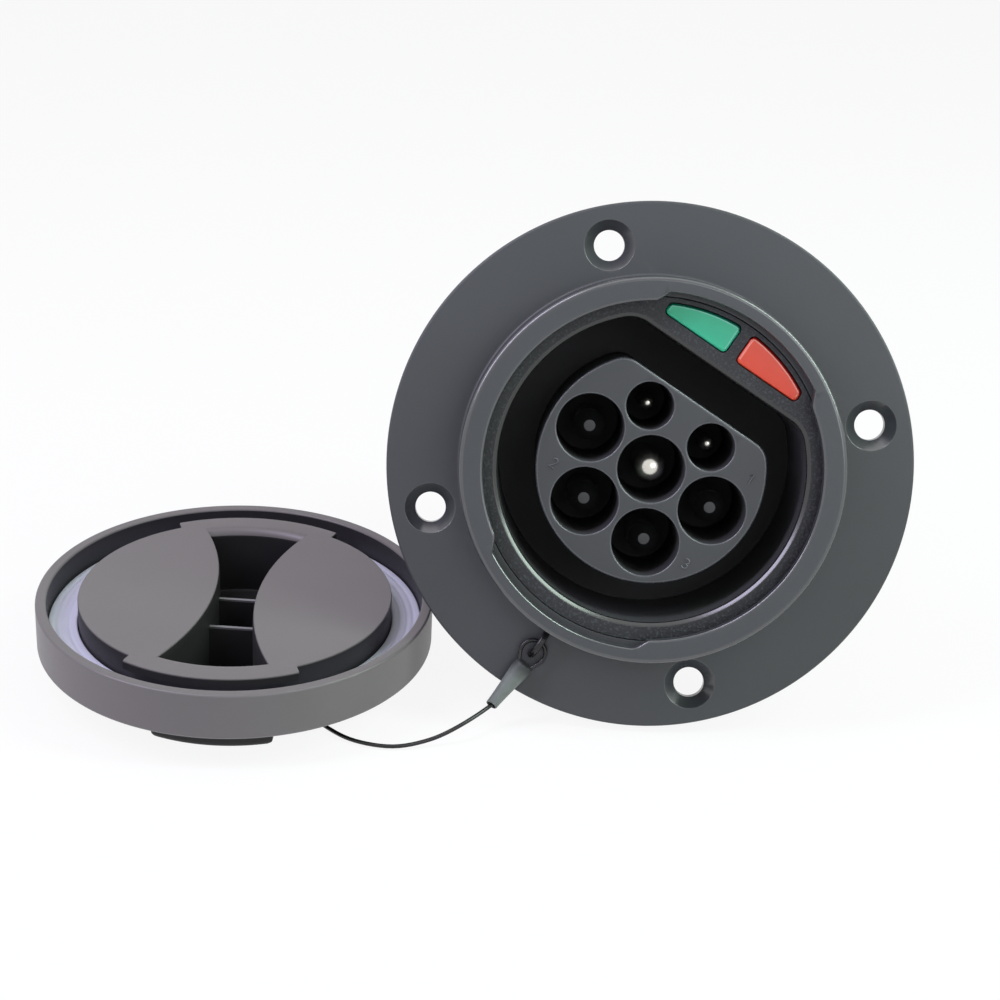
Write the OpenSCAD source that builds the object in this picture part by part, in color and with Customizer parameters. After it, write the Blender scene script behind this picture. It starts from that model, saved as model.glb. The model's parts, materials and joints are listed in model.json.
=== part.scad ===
// Seven-contact charge port inlet with a bayonet cap on a wire tether.
// It lies on a table as it was taken down: the flange leans back on its lower edge and on the end of
// the rear cover, and the cap lies inside up on its grip. Millimetres, +Z up, table at z = 0.
// The inlet is sized from the inside out: contacts, core, socket, insert, barrel, collar, flange, cap.

/* [Contacts] */
// Radius of the wells of the power and earth contacts
power_well_r = 6.35; // [5.8:0.05:7]
// Radius of the wells of the signal contacts
signal_well_r = 4.45; // [4:0.05:5]
// Wall between neighbouring power wells
power_web = 1.15; // [0.8:0.05:2]
// Wall between a signal well and its neighbours
signal_web = 1.086; // [0.8:0.002:2]
// Depth of the contact wells
contact_depth = 25; // [20:0.5:27]
// Radius of the power and earth pins
power_pin_r = 3; // [2.5:0.1:3.2]
// Radius of the signal pins
signal_pin_r = 1.5; // [1.2:0.1:1.8]
// How far the power pins' tips lie behind the core's face
power_tip_recess = 5; // [3:0.5:8]
// How far the earth pin's tip lies behind the core's face
earth_tip_recess = 3; // [2:0.5:6]
// How far the signal pins' tips lie behind the core's face
signal_tip_recess = 8; // [4:0.5:12]
// Length of the insulating tip on each power pin
touch_tip_len = 3.2; // [2:0.2:4]
// Thickness of the plate that holds the contacts
retainer_t = 3; // [2:0.5:4]
// Length of the crimp barrels behind that plate
crimp_len = 10; // [8:0.5:12]

/* [Socket] */
// Wall of the D-shaped core outside the power wells
core_wall = 1.55; // [1:0.05:3]
// Wall of the core between the signal wells and its flat side
core_flat_wall = 0.99; // [0.6:0.01:2]
// Corner radius at the ends of the core's flat side
core_corner = 4.5; // [3:0.5:6]
// How far the core's face lies behind the front of the insert
core_recess = 2; // [0.5:0.5:5]
// Thickness of the core's base behind the well
core_base_t = 5; // [4.5:0.5:7]
// Room round the core for the connector's shroud
plug_room = 7.15; // [6:0.05:9]
// Room between the flat sides of the core and the well
plug_flat_room = 7.1; // [6:0.05:9]
// Corner radius at the ends of the well's flat side
well_corner = 6; // [4:0.5:8]
// Depth of the well
well_depth = 29; // [26:0.5:33]
// Wall of the insert round the well
insert_wall = 3.35; // [3:0.05:5]

/* [Lamps] */
// Wall between the well's flat side and the lenses
lens_wall = 3.2; // [2.6:0.05:4]
// Rim of the insert outside the lenses
lens_rim = 1; // [0.8:0.1:1.5]
// Gap between the two lenses
lens_gap = 2.4; // [1.6:0.1:4]
// Distance of each lens's outer side from the middle
lens_span = 14.8; // [12:0.2:16.4]
// Thickness of the lenses
lens_t = 3; // [2:0.25:4]

/* [Rear] */
// Step in the bore that the insert seats against
seat_step = 1; // [0.6:0.1:1.2]
// Wall of the rear barrel
barrel_wall = 2.2; // [1.8:0.1:3]
// Length of the rear cover's spigot in the barrel
cover_spigot_len = 6; // [5:0.5:8]
// Room for the wires between the crimp barrels and the cable gland
wire_room = 1.8; // [1:0.1:6]
// Wall of the rear cover
cover_wall = 2.5; // [2:0.1:3.5]
// Length of the cover's tapered end
cover_taper = 12; // [8:0.5:14]
// How far the cover's end is drawn in from the barrel
rear_draw = 3.6; // [2:0.1:4.4]

/* [Cable gland] */
// Radius of the cable that the gland takes
cable_r = 8.5; // [6:0.1:9.4]
// Wall of the gland's seal round the cable
gland_seal_wall = 2.5; // [2:0.1:4]
// Length that the gland stands out behind the cover
gland_out = 18; // [16:0.5:22]

/* [Collar] */
// How far the raised collar stands out past the barrel
collar_step = 0.4; // [0.2:0.05:1.5]
// Height of the collar above the flange
collar_h = 10; // [9:0.5:14]
// Wall of the collar outside the bayonet groove
collar_wall = 2.8; // [2.2:0.1:3.1]
// How far the bayonet lip reaches in over the groove
lip_reach = 1.7; // [1:0.1:2]
// Thickness of the bayonet lip
lip_t = 1.7; // [1.2:0.1:2.5]
// Height of the bayonet groove under the lip
groove_h = 2.3; // [2:0.1:3]
// Half angle of each of the two lug notches in the lip
notch_half = 31; // [26:1:38]

/* [Flange] */
// Thickness of the flange
flange_t = 4; // [3.5:0.25:6]
// Distance of the four screw holes' middles from the collar
hole_step = 6.43; // [5.6:0.01:9]
// Distance of the screw holes' middles from the flange's edge
hole_edge = 7.57; // [6:0.01:12]
// Radius of each screw hole
screw_hole_r = 2.9; // [2.2:0.1:3.2]
// Radius of each countersink at the front face
csk_r = 4.8; // [4:0.1:5.4]
// Depth of the panel seal's groove in the back of the flange
panel_groove_d = 1.8; // [1:0.1:2.5]

/* [Cap] */
// Height of the cap's rim
rim_h = 9.5; // [8.5:0.1:12]
// Wall of the cap's rim
rim_wall = 2.1; // [1.6:0.1:3]
// Wall of the plug and the grip
cap_wall = 1.8; // [1.4:0.1:2.2]
// Thickness of the ring plate between plug and rim
plate_t = 2.4; // [1.8:0.1:3]
// Thickness of the cap's flat seal
seal_t = 2.1; // [1.5:0.1:2.5]
// Thickness of the bayonet lugs
lug_t = 1.8; // [1.4:0.1:2]
// How far the grip stands out from the ring plate
grip_drop = 6.6; // [6:0.1:10]
// How far the ends of the grip stand out past the plug's inside
grip_end_step = 2.3; // [0.5:0.1:4]
// Half width of the grip's hollow at its ends
grip_end_half = 9.7; // [8:0.1:12]
// Half width of the grip's hollow at its waist
grip_waist_half = 4; // [3:0.1:6]

/* [Tether] */
// Diameter of the coated tether wire
wire_d = 0.8; // [0.6:0.05:1]
// Length of the tapered sleeve
sleeve_len = 10.4; // [9:0.2:11.6]
// Radius of the sleeve at the eye
sleeve_r = 1.87; // [1.7:0.01:2.1]
// Radius of the rod that forms the tether eye
eye_rod_r = 0.7; // [0.6:0.05:0.8]
// Radius of the tether eye's arch
eye_r = 3; // [2.7:0.1:3.4]

/* [Pose] */
// Turn of the inlet about its own axis as it lies, clockwise from the front
inlet_roll = 31.4; // [28:0.1:34]
// How far the cap's edge reaches in under the leaning flange
cap_under = 9.7; // [0:0.1:10]
// Place of the cap's middle, behind the flange's lowest point
cap_y = 14.1; // [12:0.1:16]
// Turn of the cap about its own axis
cap_turn = -1.5; // [-4:0.5:4]

/* [Hidden] */
$fn = 96;

// Clearances
slide_gap = 0.15;
screw_gap = 0.05;
cap_rim_gap = 0.6;
plug_gap = 0.9;
lug_gap = 0.4;
lug_turn_gap = 0.5;
wire_gap = 0.05;
// Overrun of a cut past the face that it opens
cut = 1;

// Levels along the inlet's axis, from the back of the flange
collar_top = flange_t + collar_h;
groove_top = collar_top - lip_t;
insert_front = groove_top - groove_h;
well_floor = insert_front - well_depth;
core_face = insert_front - core_recess;
contact_floor = core_face - contact_depth;
core_back = well_floor - core_base_t;
barrel_end = core_back - cover_spigot_len;
retainer_back = core_back - retainer_t;
crimp_end = retainer_back - crimp_len;
gland_inside = 8;
cover_end = crimp_end - wire_room - gland_inside - cover_wall;
gland_end = cover_end - gland_out;

// Contacts: place of each on the core's face
power_pitch = 2 * power_well_r + power_web;
signal_u = power_pitch / 2;
signal_reach = power_well_r + signal_well_r + signal_web;
signal_v = round(100 * sqrt(signal_reach * signal_reach - signal_u * signal_u)) / 100;
power_low_v = -power_pitch * sin(60);
AT_L1 = [power_pitch, 0];
AT_L2 = [-signal_u, power_low_v];
AT_L3 = [signal_u, power_low_v];
AT_N = [-power_pitch, 0];
AT_PE = [0, 0];
AT_CP = [-signal_u, signal_v];
AT_PP = [signal_u, signal_v];
power_places = [AT_L1, AT_L2, AT_L3, AT_N, AT_PE];
signal_places = [AT_CP, AT_PP];
stem_step = 0.25;
shoulder_step = 1.4;
shoulder_t = 2;
crimp_step = 0.4;
crimp_wall = 0.9;
crimp_bore_len = 8;
touch_tip_end_r = 1.15;
spigot_r = 1.2;
spigot_len = 3;

// Radii of the inlet, from the core out
core_r = power_pitch + power_well_r + core_wall;
core_flat = signal_v + signal_well_r + core_flat_wall;
well_r = core_r + plug_room;
well_flat = core_flat + plug_flat_room;
insert_r = well_r + insert_wall;
seat_r = insert_r + slide_gap;
bore_r = seat_r + seat_step;
insert_rear_r = bore_r - slide_gap;
barrel_r = bore_r + barrel_wall;
collar_r = barrel_r + collar_step;
groove_r = collar_r - collar_wall;
lip_r = groove_r - lip_reach;
hole_ring_r = collar_r + hole_step;
hole_at = hole_ring_r / sqrt(2);
flange_r = hole_ring_r + hole_edge;
lug_angles = [90, 270];

// Groove of the panel seal, between the barrel and the screw holes
panel_land = 0.7;
panel_wall = 0.43;
panel_groove_r = barrel_r + panel_land;
panel_groove_out_r = hole_ring_r - screw_hole_r - panel_wall;

// Lamps
lens_r = insert_r - lens_rim;
lens_v = well_flat + lens_wall;
lens_seat = 0.8;
lens_back = insert_front - lens_t;
lamp_roof = 1;
lamp_room = 3.6;
lamp_ceiling = lens_back - lamp_roof;
board_face = lamp_ceiling - lamp_room;
board_t = 1.6;
board_grow = 0.4;
led_size = [3.2, 2, 1.9];
led_u = lens_span / 2;
chamber_r = lens_r - lens_seat;
chamber_low_v = lens_v + lens_seat;
chamber_high_v = sqrt(chamber_r * chamber_r - pow(led_u + led_size[0] / 2, 2));
led_v = (chamber_low_v + chamber_high_v) / 2;

// Screws
retainer_edge = 0.5;
retainer_r = core_r + retainer_edge;
retainer_screw_step = 4.5;
retainer_screw_r = power_pitch + retainer_screw_step;
retainer_screw_places = [for (a = [90, -38, -142]) retainer_screw_r * [cos(a), sin(a)]];
m3_r = 1.5;
m3_head_r = 2.75;
m3_head_h = 2;
thread_stop = 1;
thread_in = core_base_t - thread_stop;
cover_screw_step = 2.5;
cover_screw_at = (retainer_r + cover_screw_step) / sqrt(2);
post_r = 4;
post_gap = 3;
post_front = barrel_end - post_gap;
head_sink = 2.1;

// Rear cover and its ring seal
rear_r = barrel_r - rear_draw;
spigot_wall = 3.65;
cover_in_r = insert_rear_r - spigot_wall;
cover_in_end_r = rear_r - cover_wall;
ring_room = 1.8;
ring_r = ring_room / 2 - screw_gap / 2;
ring_groove_floor = bore_r - ring_room;
ring_groove_half = 1;
ring_w = core_back - cover_spigot_len / 2;

// Cable gland
collet_wall = 2.2;
collet_bore_r = cable_r + gland_seal_wall;
collet_r = collet_bore_r + collet_wall;
collet_step = 0.7;
gland_thread_r = collet_r - collet_step;
gland_wall = 2.6;
gland_bore_r = gland_thread_r - gland_wall;
gland_hex_step = 4;
gland_hex_r = gland_thread_r + gland_hex_step;
gland_hex_t = 4;
nut_end_len = 5.5;
collet_end = gland_end + nut_end_len;
gland_seal_t = 7;
nut_wall = 1.8;
nut_r = collet_r + nut_wall;
nut_hex_r = nut_r * 1.17;
nut_hex_t = 7;
nut_draw = 3;
nut_end_r = nut_r - nut_draw;
nut_wall_gap = 0.25;

// Cap, from the underside of its grip
plate_z = grip_drop;
plate_top = plate_z + plate_t;
rim_top = plate_z + rim_h;
rim_in_r = collar_r + cap_rim_gap;
cap_r = rim_in_r + rim_wall;
plug_r = lip_r - plug_gap;
plug_in_r = plug_r - cap_wall;
lug_r = groove_r - lug_gap;
lug_half = notch_half - lug_turn_gap;
grip_end_r = plug_in_r - cap_wall;
grip_end_v = sqrt(grip_end_r * grip_end_r - grip_end_half * grip_end_half);
grip_flare = grip_end_half - grip_waist_half;
grip_side_r = (grip_flare * grip_flare + grip_end_v * grip_end_v) / (2 * grip_flare);
grip_side_x = grip_side_r + grip_waist_half;
rib_at = 5.6;
rib_t = 1.2;
rib_h = 9.7;

// Pose on the table: the flange's lower back edge and the end of the rear cover both touch it
rear_len = -cover_end;
lean = atan((flange_r - rear_r) / rear_len);
back_y = flange_r * sin(lean) - gland_end * cos(lean) + nut_end_r * sin(lean);
cap_x = cap_under - flange_r - cap_r;
foot_x = -(cap_x - cap_r + flange_r) / 2;
foot_y = -(cap_y - cap_r + back_y) / 2;
inlet_at = [foot_x, foot_y + flange_r * sin(lean), flange_r * cos(lean)];
cap_at = [foot_x + cap_x, foot_y + cap_y, 0];

// Tether: the loop hangs in the eye at the collar's foot, and the sleeve covers its crimp
wire_r = wire_d / 2;
eye_u = 1.7;
eye_gap = 0.3;
eye_v = -(collar_r + eye_r + eye_gap);
eye_root = 1;
loop_rise = 1.4;
loop_w = flange_t + loop_rise;
loop_r = 2.4;
loop_v = eye_v - loop_r;
strand_end = [eye_u, eye_v - 6.4, flange_t + 2];
strand_half = 0.8;
sleeve_start = [eye_u - 0.1, eye_v - 4.9, flange_t + 2.15];
sleeve_dir = [-0.07, -0.996, -0.05];
sleeve_end_r = 1.15;
sleeve_bore = 3;
sleeve_lead = 1.5;
wire_hole_gap = 0.15;
wire_in = [11, -14, 3.2];
wire_hole_in = [1.6, -14, 3.2];
wire_in_steps = [9.5, 7.5, wire_hole_in[0]];
ferrule_r = 1.3;
ferrule_len = 3.6;
// Route of the wire from the sleeve to the cap, measured from the flange's lowest point
wire_route = [
    [-33.4, -9.8, 3.2], [-39, -12.3, 1.3], [-45.7, -14, 0.5], [-53, -12.7, 0.5], [-58.5, -8.7, 0.5],
    [-62.5, -3.8, 0.6], [-65.5, -0.8, 2]
];
wire_steps = 4;
wire_sides = 8;

// Point of the inlet's own frame on the table
function inlet_point(p) =
    let (u = p[0] * cos(inlet_roll) + p[1] * sin(inlet_roll))
    let (v = p[1] * cos(inlet_roll) - p[0] * sin(inlet_roll))
    inlet_at + [u, v * sin(lean) - p[2] * cos(lean), v * cos(lean) + p[2] * sin(lean)];

// Point of the cap's own frame on the table
function cap_point(p) =
    cap_at + [p[0] * cos(cap_turn) - p[1] * sin(cap_turn), p[0] * sin(cap_turn) + p[1] * cos(cap_turn), p[2]];

// Smooth curve through four neighbouring points of a route
function route_point(a, b, c, d, t) =
    0.5 * (2 * b + (c - a) * t + (2 * a - 5 * b + 4 * c - d) * t * t + (3 * b - a - 3 * c + d) * t * t * t);

// Points of a route, its ends doubled so that the curve runs through them
function smooth_route(p) = [
    for (i = [0 : len(p) - 2])
        for (k = [0 : wire_steps - 1])
            route_point(p[max(i - 1, 0)], p[i], p[i + 1], p[min(i + 2, len(p) - 1)], k / wire_steps),
    p[len(p) - 1]
];

// Unit vector
function unit(v) = v / norm(v);

// One ring of a swept tube about point i of a route
function tube_ring(p, i, r, sides) =
    let (along = unit(p[min(i + 1, len(p) - 1)] - p[max(i - 1, 0)]))
    let (side = unit(cross(along, [0, 0, 1])))
    let (top = cross(side, along))
    [for (k = [0 : sides - 1]) p[i] + r * (side * cos(360 * k / sides) + top * sin(360 * k / sides))];

// Tube of radius r along a route
module tube_along(p, r, sides) {
    rings = [for (i = [0 : len(p) - 1]) each tube_ring(p, i, r, sides)];
    last = (len(p) - 1) * sides;
    walls = [
        for (i = [0 : len(p) - 2])
            for (k = [0 : sides - 1])
                let (n = (k + 1) % sides)
                [i * sides + k, i * sides + n, (i + 1) * sides + n, (i + 1) * sides + k]
    ];
    front = [[for (k = [0 : sides - 1]) sides - 1 - k]];
    back = [[for (k = [0 : sides - 1]) last + k]];
    polyhedron(points = rings, faces = concat(walls, front, back), convexity = 4);
}

// Round rod between two points
module rod(a, b, r) {
    d = b - a;
    translate(a)
        rotate([0, acos(d[2] / norm(d)), atan2(d[1], d[0])])
            cylinder(h = norm(d), r = r, $fn = 32);
}

// Cylinder between two levels of the inlet's axis
module level(low, high, r) {
    translate([0, 0, low])
        cylinder(h = high - low, r = r);
}

// Puts children that are modelled in the inlet's frame in place on the table
module place_inlet() {
    translate(inlet_at)
        rotate([90 - lean, 0, 0])
            rotate([0, 0, -inlet_roll])
                children();
}

// Puts children that are modelled in the cap's frame in place on the table
module place_cap() {
    translate(cap_at)
        rotate([0, 0, cap_turn])
            children();
}

// D shape: a circle with one flat side, rounded where the flat meets the circle
module rounded_d(r, flat, corner) {
    cv = flat - corner;
    cu = sqrt(pow(r - corner, 2) - cv * cv);
    tangent = [cu, cv] * r / (r - corner);
    for (side = [-1, 1])
        translate([side * cu, cv])
            circle(r = corner);
    intersection() {
        circle(r = r);
        polygon([
            [-cu, flat], [-cu, cv], [-tangent[0], tangent[1]], [-2 * r, tangent[1]], [-2 * r, -2 * r],
            [2 * r, -2 * r], [2 * r, tangent[1]], [tangent[0], tangent[1]], [cu, cv], [cu, flat]
        ]);
    }
}

// Sector of a disc about the direction at
module sector(r, half, at) {
    reach = 1.5 * r / cos(half);
    intersection() {
        circle(r = r);
        polygon([
            [0, 0],
            reach * [cos(at - half), sin(at - half)],
            reach * [cos(at + half), sin(at + half)]
        ]);
    }
}

// Outline of one lens, grown or shrunk all round
module lens_outline(side, grow) {
    low_u = lens_gap / 2 - grow;
    intersection() {
        circle(r = lens_r + grow);
        translate([side > 0 ? low_u : -lens_span - grow, lens_v - grow])
            square([lens_span + grow - low_u, lens_r]);
    }
}

// Outline of the lamp chamber behind both lenses
module lamp_outline(grow) {
    intersection() {
        circle(r = lens_r + grow);
        translate([-lens_span - grow, lens_v - grow])
            square([2 * (lens_span + grow), lens_r]);
    }
}

// Arch that the tether's loop hangs in, standing on the flange with its feet in the moulding
module tether_eye() {
    translate([eye_u, eye_v, flange_t]) {
        rotate([90, 0, 90])
            rotate_extrude(angle = 180)
                translate([eye_r, 0])
                    circle(r = eye_rod_r, $fn = 24);
        for (side = [-1, 1])
            translate([0, side * eye_r, -eye_root])
                cylinder(h = eye_root, r = eye_rod_r, $fn = 24);
    }
}

module flange_body() {
    color("#48494c")
    place_inlet()
    difference() {
        union() {
            level(0, flange_t, flange_r);
            level(0, collar_top, collar_r);
            level(barrel_end, flange_t, barrel_r);
            tether_eye();
        }
        level(barrel_end - cut, flange_t, bore_r);
        level(0, insert_front, seat_r);
        level(insert_front, groove_top, groove_r);
        level(insert_front, collar_top + cut, lip_r);
        // Notches where the lugs pass the lip, on the side of the socket's flat and opposite
        for (at = lug_angles)
            translate([0, 0, insert_front])
                linear_extrude(collar_top + cut - insert_front)
                    sector(groove_r, notch_half, at);
        for (u = [-1, 1])
            for (v = [-1, 1])
                translate([u * hole_at, v * hole_at, 0]) {
                    level(-cut, flange_t + cut, screw_hole_r);
                    translate([0, 0, flange_t - (csk_r - screw_hole_r)])
                        cylinder(h = csk_r - screw_hole_r + cut, r1 = screw_hole_r, r2 = csk_r + cut);
                }
        difference() {
            level(-cut, panel_groove_d, panel_groove_out_r);
            level(-2 * cut, panel_groove_d + cut, panel_groove_r);
        }
    }
}

module panel_seal() {
    color("#202224")
    place_inlet()
    difference() {
        level(0, panel_groove_d, panel_groove_out_r - slide_gap);
        level(-cut, panel_groove_d + cut, panel_groove_r + slide_gap);
    }
}

module socket_insert() {
    color("#1e1f21")
    place_inlet()
    difference() {
        union() {
            level(well_floor, insert_front, insert_r);
            level(well_floor, flange_t, insert_rear_r);
        }
        translate([0, 0, well_floor - cut])
            linear_extrude(well_depth + 2 * cut)
                rounded_d(well_r, well_flat, well_corner);
        // Chamber behind the lenses, with a step that the lamp board seats against
        translate([0, 0, well_floor - cut])
            linear_extrude(board_face - well_floor + cut)
                lamp_outline(board_grow);
        translate([0, 0, board_face - cut])
            linear_extrude(lamp_ceiling - board_face + cut)
                lamp_outline(-lens_seat);
        for (side = [-1, 1]) {
            translate([0, 0, lens_back])
                linear_extrude(lens_t + cut)
                    lens_outline(side, slide_gap);
            translate([0, 0, lamp_ceiling - cut])
                linear_extrude(lens_back - lamp_ceiling + 2 * cut)
                    lens_outline(side, -lens_seat);
        }
    }
}

module lens(side) {
    place_inlet()
        translate([0, 0, lens_back])
            linear_extrude(lens_t)
                lens_outline(side, 0);
}

module lens_green() {
    color("#48af8c")
    lens(-1);
}

module lens_red() {
    color("#c85f50")
    lens(1);
}

module lamp_board() {
    color("#2f6b45")
    place_inlet()
    translate([0, 0, board_face - board_t])
        linear_extrude(board_t)
            lamp_outline(board_grow - slide_gap);
}

module lamp_leds() {
    color("#e8e4d0")
    place_inlet()
    for (side = [-1, 1])
        translate([side * led_u - led_size[0] / 2, led_v - led_size[1] / 2, board_face])
            cube(led_size);
}

module contact_core() {
    color("#4b4d50")
    place_inlet()
    difference() {
        union() {
            translate([0, 0, core_back])
                linear_extrude(core_face - core_back)
                    rounded_d(core_r, core_flat, core_corner);
            level(core_back, well_floor, insert_rear_r);
        }
        for (p = power_places)
            translate(p)
                contact_cut(power_well_r, power_pin_r);
        for (p = signal_places)
            translate(p)
                contact_cut(signal_well_r, signal_pin_r);
        for (p = retainer_screw_places)
            translate(p)
                level(core_back - cut, core_back + thread_in + screw_gap, m3_r + screw_gap);
        for (u = [-1, 1])
            for (v = [-1, 1])
                translate([u * cover_screw_at, v * cover_screw_at])
                    level(core_back - cut, core_back + thread_in + screw_gap, m3_r + screw_gap);
    }
}

// Well of one contact, with the hole for its pin and the seat of its shoulder
module contact_cut(well, pin) {
    level(contact_floor, core_face + cut, well);
    level(core_back - cut, contact_floor + cut, pin + stem_step + slide_gap);
    level(core_back - cut, core_back + shoulder_t, pin + shoulder_step + slide_gap);
}

// Turned contact from its crimp barrel up to the level top
module contact_stem(pin, top) {
    crimp_r = pin + crimp_step;
    level(core_back, top, pin);
    level(core_back, contact_floor, pin + stem_step);
    level(core_back, core_back + shoulder_t, pin + shoulder_step);
    difference() {
        level(crimp_end, core_back + shoulder_t / 2, crimp_r);
        level(crimp_end - cut, crimp_end + crimp_bore_len, crimp_r - crimp_wall);
    }
}

// Contact whose metal end is round
module round_contact(at, pin, recess) {
    top = core_face - recess - pin;
    place_inlet()
        translate(at) {
            contact_stem(pin, top);
            translate([0, 0, top])
                sphere(r = pin, $fn = 48);
        }
}

// Power contact, drilled for the spigot of its insulating tip
module power_contact(at) {
    top = core_face - power_tip_recess - touch_tip_len;
    place_inlet()
        translate(at)
            difference() {
                contact_stem(power_pin_r, top);
                level(top - spigot_len - slide_gap, top + cut, spigot_r + slide_gap);
            }
}

// Insulating tip of a power contact
module touch_tip(at) {
    top = core_face - power_tip_recess;
    place_inlet()
        translate(at) {
            translate([0, 0, top - touch_tip_len])
                cylinder(h = touch_tip_len, r1 = power_pin_r, r2 = touch_tip_end_r, $fn = 48);
            level(top - touch_tip_len - spigot_len, top - touch_tip_len / 2, spigot_r);
        }
}

module contact_l1() { color("#c9c5b8") power_contact(AT_L1); }
module contact_l2() { color("#c9c5b8") power_contact(AT_L2); }
module contact_l3() { color("#c9c5b8") power_contact(AT_L3); }
module contact_n() { color("#c9c5b8") power_contact(AT_N); }
module contact_pe() { color("#c9c5b8") round_contact(AT_PE, power_pin_r, earth_tip_recess); }
module contact_cp() { color("#c9c5b8") round_contact(AT_CP, signal_pin_r, signal_tip_recess); }
module contact_pp() { color("#c9c5b8") round_contact(AT_PP, signal_pin_r, signal_tip_recess); }
module tip_l1() { color("#6a6c6e") touch_tip(AT_L1); }
module tip_l2() { color("#6a6c6e") touch_tip(AT_L2); }
module tip_l3() { color("#6a6c6e") touch_tip(AT_L3); }
module tip_n() { color("#6a6c6e") touch_tip(AT_N); }

module contact_retainer() {
    color("#2a2b2d")
    place_inlet()
    difference() {
        level(retainer_back, core_back, retainer_r);
        for (p = power_places)
            translate(p)
                level(retainer_back - cut, core_back + cut, power_pin_r + crimp_step + slide_gap);
        for (p = signal_places)
            translate(p)
                level(retainer_back - cut, core_back + cut, signal_pin_r + crimp_step + slide_gap);
        for (p = retainer_screw_places)
            translate(p)
                level(retainer_back - cut, core_back + cut, m3_r + slide_gap);
    }
}

// Screw along the inlet's axis with its head's seat at the level seat and its tip at the level tip
module screw(seat, tip) {
    level(seat - m3_head_h, seat, m3_head_r);
    level(seat - m3_head_h / 2, tip, m3_r);
}

module retainer_screws() {
    color("#a8aaac")
    place_inlet()
    for (p = retainer_screw_places)
        translate(p)
            screw(retainer_back, core_back + thread_in);
}

module rear_cover() {
    color("#2b2c2e")
    place_inlet()
    difference() {
        union() {
            rotate_extrude()
                polygon([
                    [cover_in_r, core_back],
                    [insert_rear_r, core_back],
                    [insert_rear_r, barrel_end],
                    [barrel_r, barrel_end],
                    [barrel_r, cover_end + cover_taper],
                    [rear_r, cover_end],
                    [0, cover_end],
                    [0, cover_end + cover_wall],
                    [cover_in_end_r, cover_end + cover_wall],
                    [cover_in_r, cover_end + cover_taper]
                ]);
            for (u = [-1, 1])
                for (v = [-1, 1])
                    translate([u * cover_screw_at, v * cover_screw_at])
                        level(cover_end + cover_wall / 2, post_front, post_r);
        }
        difference() {
            level(ring_w - ring_groove_half, ring_w + ring_groove_half, bore_r + cut);
            level(ring_w - 2 * ring_groove_half, ring_w + 2 * ring_groove_half, ring_groove_floor);
        }
        level(cover_end - cut, cover_end + cover_wall + cut, gland_thread_r + slide_gap);
        for (u = [-1, 1])
            for (v = [-1, 1])
                translate([u * cover_screw_at, v * cover_screw_at]) {
                    level(cover_end - cut, post_front + cut, m3_r + slide_gap);
                    level(cover_end - cut, cover_end + head_sink, m3_head_r + slide_gap);
                }
    }
}

module cover_seal() {
    color("#1b1c1e")
    place_inlet()
    translate([0, 0, ring_w])
        rotate_extrude()
            translate([(bore_r + ring_groove_floor) / 2, 0])
                circle(r = ring_r, $fn = 24);
}

module cover_screws() {
    color("#a8aaac")
    place_inlet()
    for (u = [-1, 1])
        for (v = [-1, 1])
            translate([u * cover_screw_at, v * cover_screw_at])
                screw(cover_end + head_sink, core_back + thread_in);
}

module gland_body() {
    color("#303234")
    place_inlet()
    difference() {
        union() {
            level(collet_end, cover_end, collet_r);
            level(cover_end - cut, cover_end + cover_wall + gland_inside, gland_thread_r);
            translate([0, 0, cover_end - gland_hex_t])
                cylinder(h = gland_hex_t, r = gland_hex_r, $fn = 6);
        }
        level(collet_end - cut, cover_end + cover_wall + gland_inside + cut, gland_bore_r);
        level(collet_end - cut, collet_end + gland_seal_t, collet_bore_r);
    }
}

module gland_locknut() {
    color("#303234")
    place_inlet()
    difference() {
        translate([0, 0, cover_end + cover_wall])
            cylinder(h = gland_hex_t, r = gland_hex_r, $fn = 6);
        level(cover_end, cover_end + cover_wall + gland_hex_t + cut, gland_thread_r + screw_gap);
    }
}

module gland_seal() {
    color("#141516")
    place_inlet()
    difference() {
        level(collet_end, collet_end + gland_seal_t, collet_bore_r - screw_gap);
        level(collet_end - cut, collet_end + gland_seal_t + cut, cable_r);
    }
}

module gland_nut() {
    nut_front = cover_end - gland_hex_t;
    color("#303234")
    place_inlet()
    difference() {
        union() {
            translate([0, 0, nut_front - nut_hex_t])
                cylinder(h = nut_hex_t, r = nut_hex_r, $fn = 6);
            level(collet_end, nut_front, nut_r);
            translate([0, 0, gland_end])
                cylinder(h = collet_end - gland_end, r1 = nut_end_r, r2 = nut_r);
        }
        level(collet_end, nut_front + cut, collet_r + nut_wall_gap);
        level(gland_end - cut, collet_end + cut, cable_r + slide_gap);
    }
}

// Hourglass outline with its ends at end_r and its sides grown by grow
module grip_outline(end_r, grow) {
    difference() {
        circle(r = end_r);
        for (side = [-1, 1])
            translate([side * grip_side_x, 0])
                circle(r = grip_side_r - grow, $fn = 180);
    }
}

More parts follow.
